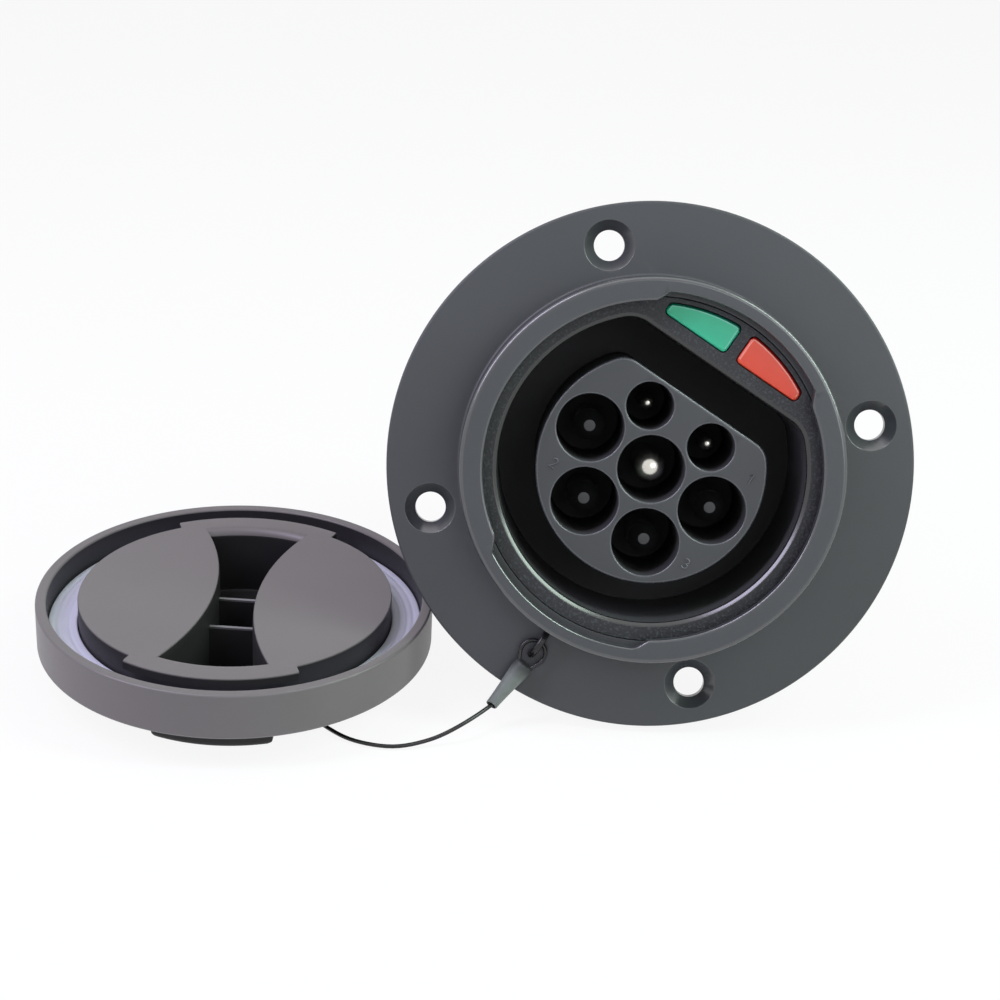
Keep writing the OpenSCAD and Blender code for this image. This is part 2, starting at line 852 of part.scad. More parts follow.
module cap_shell() {
    color("#6d6c70")
    place_cap() {
        difference() {
            union() {
                rotate_extrude()
                    polygon([
                        [plug_in_r, plate_z],
                        [cap_r, plate_z],
                        [cap_r, rim_top],
                        [rim_in_r, rim_top],
                        [rim_in_r, plate_top],
                        [plug_r, plate_top],
                        [plug_r, rim_top],
                        [0, rim_top],
                        [0, rim_top - cap_wall],
                        [plug_in_r, rim_top - cap_wall]
                    ]);
                translate([0, 0, rim_top - lug_t])
                    linear_extrude(lug_t)
                        difference() {
                            for (at = lug_angles)
                                sector(lug_r, lug_half, at);
                            circle(r = plug_in_r);
                        }
                linear_extrude(rim_top)
                    grip_outline(plug_in_r, cap_wall);
                linear_extrude(plate_top)
                    intersection() {
                        grip_outline(plug_in_r + grip_end_step, cap_wall);
                        square([2 * (grip_end_half + cap_wall), 2 * cap_r], center = true);
                    }
            }
            translate([0, 0, cap_wall])
                linear_extrude(rim_top)
                    grip_outline(grip_end_r, 0);
            rod(wire_hole_in, wire_in, wire_r + wire_hole_gap);
        }
        // Two ribs that stiffen the hollow grip
        translate([0, 0, cap_wall])
            linear_extrude(rib_h)
                intersection() {
                    grip_outline(grip_end_r, cap_wall / 2);
                    for (v = [-rib_at, rib_at])
                        translate([-grip_end_r, v - rib_t / 2])
                            square([2 * grip_end_r, rib_t]);
                }
    }
}

module cap_seal() {
    color("#b2b2cd")
    place_cap()
    difference() {
        translate([0, 0, plate_top])
            cylinder(h = seal_t, r = rim_in_r - slide_gap);
        translate([0, 0, plate_top - cut])
            cylinder(h = seal_t + 2 * cut, r = plug_r + slide_gap);
    }
}

// Ends of the loop's two strands, at the bend and inside the sleeve
function bend_end(side) = [eye_u + side * loop_r, loop_v, loop_w];
function strand_tip(side) = strand_end + [side * strand_half, 0, 0];

module tether_loop() {
    bend = [for (a = [180 : -15 : 0]) [eye_u + loop_r * cos(a), loop_v + loop_r * sin(a), loop_w]];
    color("#2a2a2c")
    place_inlet()
    tube_along(concat([strand_tip(-1)], bend, [strand_tip(1)]), wire_r, wire_sides);
}

module tether_sleeve() {
    d = sleeve_dir;
    color("#80857f")
    place_inlet()
    difference() {
        translate(sleeve_start)
            rotate([0, acos(d[2] / norm(d)), atan2(d[1], d[0])])
                cylinder(h = sleeve_len, r1 = sleeve_r, r2 = sleeve_end_r, $fn = 48);
        for (side = [-1, 1]) {
            past_tip = wire_r * unit(strand_tip(side) - bend_end(side));
            rod(bend_end(side), strand_tip(side) + past_tip, wire_r + wire_gap);
        }
        rod(
            sleeve_start + (sleeve_len - sleeve_bore) * unit(d),
            sleeve_start + (sleeve_len + cut) * unit(d),
            wire_r + wire_gap
        );
    }
}

module tether_wire() {
    d = unit(sleeve_dir);
    start = [
        for (s = [sleeve_len - sleeve_bore + wire_gap, sleeve_len, sleeve_len + sleeve_lead])
            inlet_point(sleeve_start + s * d)
    ];
    middle = [for (p = wire_route) p + [foot_x, foot_y, 0]];
    finish = [for (x = wire_in_steps) cap_point([x, wire_hole_in[1], wire_hole_in[2]])];
    color("#2a2a2c")
    tube_along(smooth_route(concat(start, middle, finish)), wire_r, wire_sides);
}

module tether_ferrule() {
    color("#b8babc")
    place_cap()
    difference() {
        rod(wire_hole_in, wire_hole_in + [ferrule_len, 0, 0], ferrule_r);
        rod(wire_hole_in - [cut, 0, 0], wire_hole_in + [ferrule_len + cut, 0, 0], wire_r + wire_gap);
    }
}

flange_body();
socket_insert();
contact_core();
contact_l1();
contact_l2();
contact_l3();
contact_n();
contact_pe();
contact_cp();
contact_pp();
tip_l1();
tip_l2();
tip_l3();
tip_n();
lens_green();
lens_red();
lamp_board();
lamp_leds();
contact_retainer();
retainer_screws();
rear_cover();
cover_seal();
cover_screws();
gland_body();
gland_locknut();
gland_seal();
gland_nut();
panel_seal();
cap_shell();
cap_seal();
tether_loop();
tether_sleeve();
tether_wire();
tether_ferrule();
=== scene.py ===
import json
import math

import bmesh
import bpy
from mathutils import Matrix, Vector
from mathutils.geometry import delaunay_2d_cdt


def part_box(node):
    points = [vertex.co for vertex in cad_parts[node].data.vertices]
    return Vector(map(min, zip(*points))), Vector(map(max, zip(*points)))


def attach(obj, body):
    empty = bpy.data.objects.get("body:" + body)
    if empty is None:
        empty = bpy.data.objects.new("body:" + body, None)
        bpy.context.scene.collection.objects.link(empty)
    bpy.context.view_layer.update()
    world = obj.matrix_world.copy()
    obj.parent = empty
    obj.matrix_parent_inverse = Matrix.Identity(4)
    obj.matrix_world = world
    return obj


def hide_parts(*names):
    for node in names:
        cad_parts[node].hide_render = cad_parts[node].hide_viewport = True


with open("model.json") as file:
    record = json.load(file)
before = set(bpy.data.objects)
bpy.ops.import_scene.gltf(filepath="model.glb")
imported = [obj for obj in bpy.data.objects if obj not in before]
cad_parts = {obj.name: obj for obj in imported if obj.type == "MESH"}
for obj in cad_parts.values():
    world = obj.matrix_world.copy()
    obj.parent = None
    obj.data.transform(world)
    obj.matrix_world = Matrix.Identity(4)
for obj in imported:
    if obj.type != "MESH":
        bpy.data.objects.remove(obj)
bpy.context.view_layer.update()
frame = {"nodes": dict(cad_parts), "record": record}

# Shapes are drawn in millimetres in the inlet's or the cap's own frame and then put in place in metres
mm = 0.001
hair = 0.005  # mm, keeps a flat face out of a test on its height
lead = 1.0  # mm, run-in of a path, which only gives its first or last corner a direction
fourCorners = [(u, v) for u in (-1, 1) for v in (-1, 1)]
scene = bpy.context.scene


class Sizes(dict):
    # Settings of a piece, whose values can be read by name, as in flange.collarR
    __getattr__ = dict.__getitem__


lie = Sizes(roll=31.4, capTurn=-1.5, flangeR=50)  # turns of the inlet and the cap as they lie, in degrees
bolts = next(m for m in frame["record"]["mounts"] if m["name"] == "flange_bolts")
inletAt = Vector(bolts["pos_m"])
lean = math.atan2(bolts["axis"][2], -bolts["axis"][1])
toInlet = (
    Matrix.Translation(inletAt)
    @ Matrix.Rotation(math.pi / 2 - lean, 4, "X")
    @ Matrix.Rotation(-math.radians(lie.roll), 4, "Z")
    @ Matrix.Scale(mm, 4)
)
sealLow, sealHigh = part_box("cap_seal")
capAt = Vector(((sealLow.x + sealHigh.x) / 2, (sealLow.y + sealHigh.y) / 2, 0))
toCap = (
    Matrix.Translation(capAt)
    @ Matrix.Rotation(math.radians(lie.capTurn), 4, "Z")
    @ Matrix.Scale(mm, 4)
)
footAt = inletAt - Vector((0, math.sin(lean), math.cos(lean))) * lie.flangeR * mm  # where the flange stands


# Finishes

def hexToLinear(hexColour):
    parts = [int(hexColour[i:i + 2], 16) / 255 for i in (1, 3, 5)]
    return (*[c / 12.92 if c <= 0.04045 else ((c + 0.055) / 1.055) ** 2.4 for c in parts], 1.0)


def addNode(tree, kind, settings=None, links=None):
    node = tree.nodes.new("ShaderNode" + kind)
    for name, value in (settings or {}).items():
        if name in node.inputs:
            node.inputs[name].default_value = value
        else:
            setattr(node, name, value)
    for name, source in (links or {}).items():
        tree.links.new(source, node.inputs[name])
    return node


def cloudedMaterial(name, look, detail):
    # Start of every finish: a colour that drifts between two shades, in clouds of the look's size
    material = bpy.data.materials.new(name)
    material.use_nodes = True
    tree = material.node_tree
    place = addNode(tree, "TexCoord").outputs["Object"]
    size = {"Scale": 1 / (look["cloudMm"] * mm), "Detail": detail}
    cloud = addNode(tree, "TexNoise", size, {"Vector": place})
    shades = {"data_type": "RGBA", "A": hexToLinear(look["dark"]), "B": hexToLinear(look["light"])}
    colour = addNode(tree, "Mix", shades, {"Factor": cloud.outputs["Fac"]})
    shader = tree.nodes["Principled BSDF"]
    tree.links.new(colour.outputs["Result"], shader.inputs["Base Color"])
    return material, shader, place, cloud.outputs["Fac"], colour


grainSpan = (0.3, 0.7)  # most of the grain's noise lies in this span
fleckSpan = {"blackNylon": (0.5, 0.78)}  # where only the peaks of the grain catch the light


def mouldedPlastic(name, look):
    # Injection moulded: an even colour with a faint cloud from the melt and the grain of the mould.
    # Real grain is finer than the render can show, so it is drawn as coarse as it needs to show
    material, shader, place, _, colour = cloudedMaterial(name, look, 3.0)
    tree = material.node_tree
    size = {"Scale": 1 / (look["grainMm"] * mm), "Detail": 2.0}
    grain = addNode(tree, "TexNoise", size, {"Vector": place}).outputs["Fac"]
    if name in fleckSpan:
        low, high = fleckSpan[name]
        fleck = addNode(tree, "MapRange", {"From Min": low, "From Max": high}, {"Value": grain})
        tree.links.new(fleck.outputs["Result"], colour.inputs["Factor"])
    smooth, dull = look["rough"]
    span = {"From Min": grainSpan[0], "From Max": grainSpan[1], "To Min": smooth, "To Max": dull}
    rough = addNode(tree, "MapRange", span, {"Value": grain})
    height = {"Strength": look["bump"], "Distance": look["grainMm"] * mm / 4}
    bump = addNode(tree, "Bump", height, {"Height": grain})
    tree.links.new(rough.outputs["Result"], shader.inputs["Roughness"])
    tree.links.new(bump.outputs["Normal"], shader.inputs["Normal"])
    shader.inputs["IOR"].default_value = look["ior"]
    shader.inputs["Specular IOR Level"].default_value = look["shine"]
    return material


plasticColumns = ("dark", "light", "cloudMm", "grainMm", "rough", "bump", "ior", "shine")
plasticRows = {
    # Glass-filled nylon from a spark-eroded mould: dark grey with a soft, broad sheen
    "glassFilledNylon": ("#383a3c", "#3e4043", 22, 0.35, (0.42, 0.52), 0.12, 1.53, 0.5),
    # The same nylon on rounded edges, which the mould's radius leaves smoother: a clean bright line
    "glassFilledNylonEdge": ("#383a3c", "#3e4043", 22, 0.35, (0.18, 0.24), 0.02, 1.53, 1.0),
    # Black nylon from a coarsely eroded mould: its grain sparkles where the light grazes it
    "blackNylon": ("#2c2d2f", "#525457", 9, 0.45, (0.4, 0.62), 0.7, 1.53, 0.3),
    # The same nylon as painted shade: an even black on the walls of the socket's well and on the ledge under
    # the collar's lip, where shade falls
    "polishedNylon": ("#444546", "#4a4b4c", 15, 0.4, (0.34, 0.42), 0.02, 1.53, 0.3),
    # The same nylon on the bead round the socket's mouth: smooth, so that it draws one bright line
    "beadNylon": ("#161718", "#1c1d1e", 15, 0.4, (0.24, 0.26), 0.004, 1.53, 0.7),
    # PBT of the contact core: an even grey, a little bluer and smoother than the nylon
    "corePbt": ("#2e3033", "#343639", 12, 0.3, (0.36, 0.44), 0.08, 1.55, 0.5),
    # The same PBT, paler, as a painted highlight on the rounded edges: a fine pale line round the face and
    # each well
    "corePbtEdge": ("#3f4145", "#4c4e52", 1.5, 0.3, (0.2, 0.3), 0.1, 1.55, 0.7),
    # The same PBT as painted shade on the tower's sides and in the wells: dull black, so that nothing shows
    # of them behind the rim
    "wellPbt": ("#39393a", "#3f3f40", 6, 0.4, (0.5, 0.6), 0.1, 1.5, 0.25),
    # Nylon of the touch-proof tips: a dark moulding whose flat end is all that takes the light
    "tipNylon": ("#3c3d3f", "#4a4c4e", 2, 0.3, (0.3, 0.4), 0.1, 1.5, 0.5),
    # The same nylon on their sides, deep in the wells, as painted shade: black, so that only the end shows
    "tipNylonSide": ("#1a1a1b", "#202021", 2, 0.3, (0.5, 0.6), 0.05, 1.5, 0.2),
    # Black nylon of the rear housing, from a smoother mould: a quiet, even sheen
    "rearNylon": ("#1f2022", "#26272a", 18, 0.4, (0.42, 0.52), 0.12, 1.53, 0.5),
    # Black nylon of the cable gland: a polished look
    "glandNylon": ("#222325", "#292a2c", 10, 0.3, (0.32, 0.4), 0.05, 1.53, 0.5),
    # Nylon of the cap: a warmer grey than the flange, and lighter, partly from a painted sheen of its upward
    # faces, with a silky moulded face
    "capNylon": ("#686363", "#706b6b", 20, 0.35, (0.38, 0.46), 0.08, 1.53, 0.5),
    # The same nylon inside the cap's groove, as painted shade: dull and dark
    "grooveNylon": ("#2a282a", "#312f31", 20, 0.35, (0.45, 0.55), 0.08, 1.53, 0.3),
    # The same nylon on the grip: glossy black that shows only its edges
    "gripNylon": ("#1c1c1d", "#222223", 12, 0.35, (0.22, 0.3), 0.04, 1.53, 0.5),
    # The same nylon inside the grip: a dull, even black
    "hollowNylon": ("#2a292a", "#2f2e2f", 12, 0.35, (0.5, 0.56), 0.01, 1.53, 0.2),
    # The same nylon on top of the ribs, paler and smoother, as a painted highlight: a fine pale line
    "ribNylon": ("#747376", "#848386", 2, 0.3, (0.25, 0.35), 0.02, 1.53, 0.5),
    # Polyolefin sleeve, shrunk with hot air: dull grey-green, a little uneven
    "shrunkPolyolefin": ("#6c736d", "#838a83", 2.5, 0.5, (0.45, 0.6), 0.3, 1.5, 0.5),
    # Vinyl coat of the tether wire: smooth and black, with a light along its upper side
    "vinylCoat": ("#131315", "#1a1a1c", 4, 0.3, (0.24, 0.32), 0.02, 1.53, 0.4),
    # Moulded seal rubber: black and dull
    "sealRubber": ("#17181a", "#1e1f21", 6, 0.3, (0.6, 0.7), 0.1, 1.5, 0.3),
    # Solder mask on the lamp board: a green skin with a mild gloss
    "solderMask": ("#265c3a", "#2f6b45", 4, 0.3, (0.3, 0.4), 0.05, 1.5, 0.5),
    # Cast epoxy of the lamps: pale and glossy
    "lampEpoxy": ("#ddd9c4", "#ebe7d4", 1, 0.2, (0.2, 0.3), 0.02, 1.5, 0.5),
}
plasticLooks = {name: dict(zip(plasticColumns, row)) for name, row in plasticRows.items()}
# Nylon of the eye's arch, rubbed by the loop, and the sleeve inside its open end: each like another black;
# on the sleeve it is painted shade
plasticLooks["eyeNylon"] = plasticLooks["vinylCoat"]
plasticLooks["polyolefinBore"] = plasticLooks["hollowNylon"]


def cloudyBody(name, look):
    # A smooth skin over a cloudy body that light soaks into
    look = {**cloudyBase, **look}
    material, shader, *_ = cloudedMaterial(name, look, 2.0)
    soak = {"Weight": look["soak"], "Radius": look["soakTint"], "Scale": look["soakMm"] * mm}
    for name, value in soak.items():
        shader.inputs["Subsurface " + name].default_value = value
    shader.inputs["Roughness"].default_value = look["rough"]
    shader.inputs["IOR"].default_value = look["ior"]
    return material


cloudyBase = dict(cloudMm=2, ior=1.58, soak=0.0, soakMm=0.6, soakTint=(1, 1, 1))  # polycarbonate
cloudyLooks = {
    # Diffusing polycarbonate, moulded: a clear skin over a milky, coloured body
    "greenPolycarbonate": dict(dark="#22b886", light="#32c496", cloudMm=7, rough=0.34, soak=0.3),
    "redPolycarbonate": dict(dark="#e44426", light="#ee5232", cloudMm=7, rough=0.34, soak=0.3),
    # Painted highlight on the edge of its face: a pale line
    "greenPolycarbonateEdge": dict(dark="#68d2b0", light="#7cdcbe", rough=0.14),
    "redPolycarbonateEdge": dict(dark="#fa8c74", light="#ffa48e", rough=0.14),
    # Painted shade on its sides that face up: deep in colour
    "greenPolycarbonateSide": dict(dark="#0e7454", light="#148262", rough=0.2),
    "redPolycarbonateSide": dict(dark="#a81608", light="#bc1e10", rough=0.2),
    # Cast silicone: pale lavender, soft and slightly see-through at its edges
    "paleSilicone": dict(
        dark="#e2e4f6", light="#eef0ff", cloudMm=12, rough=0.45, ior=1.41, soak=0.4, soakMm=0.8,
        soakTint=(1, 1, 1.1)),
}


def turnedMetal(name, look):
    # Turned or drawn: bright, with a gloss that drifts as its colour does
    material, shader, _, cloud, _ = cloudedMaterial(name, look, 3.0)
    tree = material.node_tree
    smooth, dull = look["rough"]
    rough = addNode(tree, "MapRange", {"To Min": smooth, "To Max": dull}, {"Value": cloud})
    tree.links.new(rough.outputs["Result"], shader.inputs["Roughness"])
    shader.inputs["Metallic"].default_value = 1.0
    return material


metalLooks = {
    # Silver plate on turned brass: bright and a little warm
    "silverPlate": dict(dark="#c8c6bd", light="#e2e0d8", cloudMm=1.5, rough=(0.18, 0.3)),
    # Zinc-plated steel: a cool grey, duller in places
    "zincSteel": dict(dark="#9a9c9f", light="#b4b6b8", cloudMm=2, rough=(0.25, 0.4)),
    # Aluminium, pressed in the crimp: pale, with a satin gloss
    "crimpAluminium": dict(dark="#b4b6b8", light="#c6c8ca", cloudMm=1.5, rough=(0.3, 0.4)),
}
finish = {}
for make, looks in ((mouldedPlastic, plasticLooks), (cloudyBody, cloudyLooks), (turnedMetal, metalLooks)):
    finish.update({name: make(name, look) for name, look in looks.items()})
print("finishes made:", len(finish))


# Drawing tools

def onCircle(angle, radius=1):
    # Point at an angle in degrees
    return radius * math.cos(math.radians(angle)), radius * math.sin(math.radians(angle))


def arc(radius, start, end, steps, middle=(0, 0)):
    ring = [onCircle(start + (end - start) * k / steps, radius) for k in range(steps + 1)]
    return [(middle[0] + x, middle[1] + y) for x, y in ring]


def quarterRound(radius, angles):
    # Rounded edge from its face to its wall: how far in from the wall and down from the face each row lies
    return [(radius * (1 - y), radius * (1 - x)) for x, y in map(onCircle, angles)]


def addLoop(bm, points):
    return [bm.verts.new(p) for p in points]


def bridge(bm, first, second):
    count = len(first)
    for i in range(count):
        j = (i + 1) % count
        bm.faces.new((first[i], first[j], second[j], second[i]))


def bridgeAll(bm, loops):
    for first, second in zip(loops, loops[1:]):
        bridge(bm, first, second)


def isInside(point, loop):
    inside = False
    x, y = point
    for (ax, ay), (bx, by) in zip(loop, loop[1:] + loop[:1]):
        if (ay > y) != (by > y) and x < (bx - ax) * (y - ay) / (by - ay) + ax:
            inside = not inside
    return inside


def fillFlat(bm, outer, holes=()):
    # Fills a level face between loops that are already drawn
    loops = [outer, *holes]
    verts = [v for loop in loops for v in loop]
    flats = [[(v.co.x, v.co.y) for v in loop] for loop in loops]
    edges = []
    start = 0
    for loop in loops:
        count = len(loop)
        edges += [(start + i, start + (i + 1) % count) for i in range(count)]
        start += count
    points = [Vector(p) for flat in flats for p in flat]
    outVerts, _, outFaces, source = delaunay_2d_cdt(points, edges, [], 0, 1e-7)[:4]
    for face in outFaces:
        middle = sum((outVerts[i] for i in face), Vector((0, 0))) / len(face)
        if isInside(middle, flats[0]) and not any(isInside(middle, flat) for flat in flats[1:]):
            bm.faces.new([verts[source[i][0]] for i in face])


def roundPath(corners, closed=False, steps=5):
    # Path through corners (x, y, radius) with each corner rounded
    path = []
    count = len(corners)
    for i, (x, y, radius) in enumerate(corners):
        here = Vector((x, y))
        if radius == 0 or (not closed and i in (0, count - 1)):
            path.append(here)
            continue
        before = (Vector(corners[i - 1][:2]) - here).normalized()
        after = (Vector(corners[(i + 1) % count][:2]) - here).normalized()
        half = before.angle(after) / 2
        middle = here + (before + after).normalized() * radius / math.sin(half)
        start = here + before * radius / math.tan(half) - middle
        end = here + after * radius / math.tan(half) - middle
        sweep = start.angle(end)
        for k in range(steps + 1):
            t = k / steps
            swung = start * math.sin((1 - t) * sweep) + end * math.sin(t * sweep)
            path.append(middle + swung / math.sin(sweep))
    return path


def ringAngles(count, stops=(), spread=0.5, steps=8):
    # Angles round a circle in degrees, with more of them at the stops where an outline steps in or out
    angles = {round(360 * i / count, 4) for i in range(count)}
    for stop in stops:
        angles = {a for a in angles if abs((a - stop + 180) % 360 - 180) > spread}
        angles |= {round((stop + spread * (2 * k / steps - 1)) % 360, 4) for k in range(steps + 1)}
    return sorted(angles)


def ringPoints(angles, radius, level, middle=(0, 0)):
    # radius is a number or a function of the angle
    points = []
    for angle in angles:
        x, y = onCircle(angle, radius(angle) if callable(radius) else radius)
        points.append((middle[0] + x, middle[1] + y, level))
    return points


def lathe(bm, path, angles, closed=False, middle=(0, 0)):
    # Turns a path of (radius, level) about the axis; an end at radius 0 closes to a point
    loops = []
    for r, level in path:
        if r < 1e-6:
            loops.append(bm.verts.new((middle[0], middle[1], level)))
        else:
            loops.append(addLoop(bm, ringPoints(angles, r, level, middle)))
    pairs = list(zip(loops, loops[1:]))
    if closed:
        pairs.append((loops[-1], loops[0]))
    for first, second in pairs:
        if isinstance(first, list) and isinstance(second, list):
            bridge(bm, first, second)
        elif isinstance(first, list) or isinstance(second, list):
            ring, tip = (first, second) if isinstance(first, list) else (second, first)
            for i in range(len(ring)):
                bm.faces.new((ring[i], ring[(i + 1) % len(ring)], tip))
    return loops


def tube(bm, points, radius, sides=16):
    # Round tube along points, closed at both ends
    loops = []
    side = None
    for i, point in enumerate(points):
        along = (points[min(i + 1, len(points) - 1)] - points[max(i - 1, 0)]).normalized()
        if side is None:
            side = along.orthogonal().normalized()
        side = (side - along * side.dot(along)).normalized()
        up = along.cross(side)
        ring = arc(radius, 0, 360, sides)[:-1]
        loops.append(addLoop(bm, [point + side * x + up * y for x, y in ring]))
    bridgeAll(bm, loops)
    bm.faces.new(loops[0][::-1])
    bm.faces.new(loops[-1])


def smoothCurve(points, steps):
    # Curve through every point of a route
    curve = []
    for i in range(len(points) - 1):
        a, b = points[max(i - 1, 0)], points[i]
        c, d = points[i + 1], points[min(i + 2, len(points) - 1)]
        for k in range(steps):
            t = k / steps
            square, cube = 2 * a - 5 * b + 4 * c - d, 3 * b - a - 3 * c + d
            curve.append(0.5 * (2 * b + (c - a) * t + square * t ** 2 + cube * t ** 3))
    return curve + [points[-1]]


sharpAngle = 38  # degrees, a sharper turn between two faces shows as an edge


def makePiece(name, bm, material, node=None, others=(), body="inlet", where=toInlet):
    # others: more finishes, each with a test of a face's middle and normal that says where it goes
    bmesh.ops.recalc_face_normals(bm, faces=bm.faces)
    for face in bm.faces:
        for index, (_, goesHere) in enumerate(others):
            if goesHere(face.calc_center_median(), face.normal):
                face.material_index = index + 1
    mesh = bpy.data.meshes.new(name)
    bm.to_mesh(mesh)
    bm.free()
    mesh.transform(where)
    for polygon in mesh.polygons:
        polygon.use_smooth = True
    mesh.set_sharp_from_angle(angle=math.radians(sharpAngle))
    for used in (material, *(other for other, _ in others)):
        mesh.materials.append(finish[used])
    piece = bpy.data.objects.new(name, mesh)
    scene.collection.objects.link(piece)
    level = piece.modifiers.new("evenShading", "WEIGHTED_NORMAL")
    level.keep_sharp = True
    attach(piece, body)
    if node:
        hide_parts(node)
    return piece


# Camera, at the photograph's viewing angle

view = Sizes(
    place=(-26.12, -356.08, 221.89),  # mm from the lowest point of the flange
    along=(-0.0047, 0.8969, -0.4422),
    up=(-0.05205, 0.44135, 0.89583),
    lens=77.54,
    sensor=36.0,
    clip=(0.01, 20),  # metres
)
along = Vector(view.along).normalized()
right = along.cross(Vector(view.up)).normalized()
cameraData = bpy.data.cameras.new("photoCamera")
cameraData.lens = view.lens
cameraData.sensor_width = view.sensor
cameraData.sensor_fit = "HORIZONTAL"
cameraData.clip_start, cameraData.clip_end = view.clip
camera = bpy.data.objects.new("photoCamera", cameraData)
scene.collection.objects.link(camera)
cameraTurn = Matrix((right, right.cross(along), -along)).transposed()
camera.matrix_world = Matrix.Translation(footAt + Vector(view.place) * mm) @ cameraTurn.to_4x4()
scene.camera = camera


# Tether: loop in the eye, shrunk sleeve, wire to the cap

tether = Sizes(
    wireR=0.4, curveSteps=6, roundness=4,
    eye=(1.7, -39.3),
    loopR=2.4, loopLevel=5.4,
    loopTurn=(204, -24, 19),  # degrees, to where the strands leave it straight, and steps
    strandEnd=(1.7, -45.7, 6.0), strandHalf=0.8,
    # from the lowest point of the flange
    route=[
        (-33.4, -9.8, 3.2), (-39, -12.3, 1.3), (-45.7, -14, 0.5), (-53, -12.7, 0.5), (-58.5, -8.7, 0.5),
        (-62.5, -3.8, 0.6), (-65.5, -0.8, 2)],
    # in the cap, through the wall of its grip
    inCap=[(9.5, -14, 3.2), (7.5, -14, 3.2), (1.6, -14, 3.2)],
)
# The sleeve shrinks down over the crimp: full at the loop, waisted, slim and open on the wire
sleeve = Sizes(
    start=(1.6, -44.2, 6.15), along=(-0.07, -0.996, -0.05), length=10.4, wireIn=2.95,
    path=[
        (0, 0), (1.55, 0), (1.8, 0.25), (1.87, 0.8), (1.84, 2.2), (1.66, 4), (1.45, 6), (1.28, 8),
        (1.17, 9.6), (1.15, 10.3), (1.08, 10.4), (0.92, 10.4), (0.85, 10.2), (0.8, 8.2), (0, 8.2)],
    slant=0.6, slantFrom=9.9, boreFrom=5,
    thin=(0.8, 3.4), thinColour="#3e423f",  # from where to where the crimp shows through less and less
)
sleeveStart = Vector(sleeve.start)
sleeveDir = Vector(sleeve.along).normalized()
routePoints = [
    toInlet @ (sleeveStart + reach * sleeveDir)
    for reach in (sleeve.length - sleeve.wireIn, sleeve.length)]
routePoints += [footAt + Vector(p) * mm for p in tether.route]
routePoints += [toCap @ Vector(p) for p in tether.inCap]
wirePoints = smoothCurve(routePoints, tether.curveSteps)
wireCurve = bpy.data.curves.new("tetherWire", "CURVE")
wireCurve.dimensions = "3D"
wireCurve.bevel_depth = tether.wireR * mm
wireCurve.bevel_resolution = tether.roundness
wireCurve.use_fill_caps = True
spline = wireCurve.splines.new("POLY")
spline.points.add(len(wirePoints) - 1)
for target, point in zip(spline.points, wirePoints):
    target.co = (*point, 1)
spline.use_smooth = True
wireCurve.materials.append(finish["vinylCoat"])
tetherWire = bpy.data.objects.new("tetherWire", wireCurve)
scene.collection.objects.link(tetherWire)
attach(tetherWire, "tethered_cap")
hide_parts("tether_wire")

eyeU, eyeV = tether.eye
strandEnd = Vector(tether.strandEnd)
strandSide = Vector((tether.strandHalf, 0, 0))
loopArc = arc(tether.loopR, *tether.loopTurn, (eyeU, eyeV - tether.loopR))
loopRoute = [Vector((x, y, tether.loopLevel)) for x, y in loopArc]
bm = bmesh.new()
tube(bm, [strandEnd - strandSide, *loopRoute, strandEnd + strandSide], tether.wireR)
tetherLoop = makePiece("tetherLoop", bm, "vinylCoat", "tether_loop", body="tethered_cap")

bm = bmesh.new()
lathe(bm, sleeve.path, ringAngles(40))
bm.transform(Matrix.Translation(sleeveStart) @ sleeveDir.to_track_quat("Z", "Y").to_matrix().to_4x4())
for vert in bm.verts:  # its end was cut on a slant
    reach = (vert.co - sleeveStart).dot(sleeveDir)
    if reach > sleeve.slantFrom:
        vert.co -= sleeveDir * sleeve.slant * (vert.co.z - (sleeveStart + reach * sleeveDir).z)


# Inside of the sleeve's open end, which takes the painted shade
def isBore(at, n):
    out = at - sleeveStart
    return n.dot(out - out.dot(sleeveDir) * sleeveDir) < 0 and out.y < -sleeve.boreFrom


tetherSleeve = makePiece(
    "tetherSleeve", bm, "shrunkPolyolefin", "tether_sleeve",
    others=[("polyolefinBore", isBore)], body="tethered_cap")

# The dark crimp shows through where the sleeve is stretched thin over it
tree = finish["shrunkPolyolefin"].node_tree
shader = tree.nodes["Principled BSDF"]
sleeveAxis = (toInlet.to_3x3() @ sleeveDir).normalized()
thinStart, thinEnd = ((toInlet @ sleeveStart).dot(sleeveAxis) + reach * mm for reach in sleeve.thin)
place = addNode(tree, "TexCoord").outputs["Object"]
reach = addNode(tree, "VectorMath", {"operation": "DOT_PRODUCT"}, {0: place})
reach.inputs[1].default_value = sleeveAxis
thinSpan = {"From Min": thinStart, "From Max": thinEnd}
thick = addNode(tree, "MapRange", thinSpan, {"Value": reach.outputs["Value"]})
through = addNode(
    tree, "Mix", {"data_type": "RGBA", "A": hexToLinear(sleeve.thinColour)},
    {"Factor": thick.outputs["Result"], "B": shader.inputs["Base Color"].links[0].from_socket})
tree.links.new(through.outputs["Result"], shader.inputs["Base Color"])


# Flange, collar with its bayonet lip, and rear barrel: one moulding

flange = Sizes(
    r=lie.flangeR, t=4, edge=0.5, backEdge=0.3,
    holeAt=30, holeR=2.9, holeEdge=0.15, sinkR=4.8, sinkEdge=0.2,
    collarR=36, collarTop=14, collarEdge=0.8, foot=0.6,
    lipR=31.5, lipUnder=12.3, lipEdge=0.5, lipFoot=0.15,
    notchHalf=31, notchSlope=3.2, notchDeep=0.3,  # half and slope in degrees
    grooveR=33.2, grooveDeep=0.4, ledge=10, seatR=32.4, seatEdge=0.05,
    boreR=33.4, barrelR=35.6, barrelEnd=-30, barrelEdge=0.3,
    sealIn=36.3, sealOut=39.1, sealDeep=1.8,
    edgeFrom=0.4, edgeClear=0.8,  # smooth finish: from this level up and this far out from the collar
)
eye = Sizes(rodR=0.7, archR=3.0, sink=0.6, steps=20, sides=20, half=1, footClear=0.2)


def sectorEnds(half):
    # Ends of the two sectors, one about the top and one about the bottom
    return [middle + side * half for middle in (90, 270) for side in (-1, 1)]


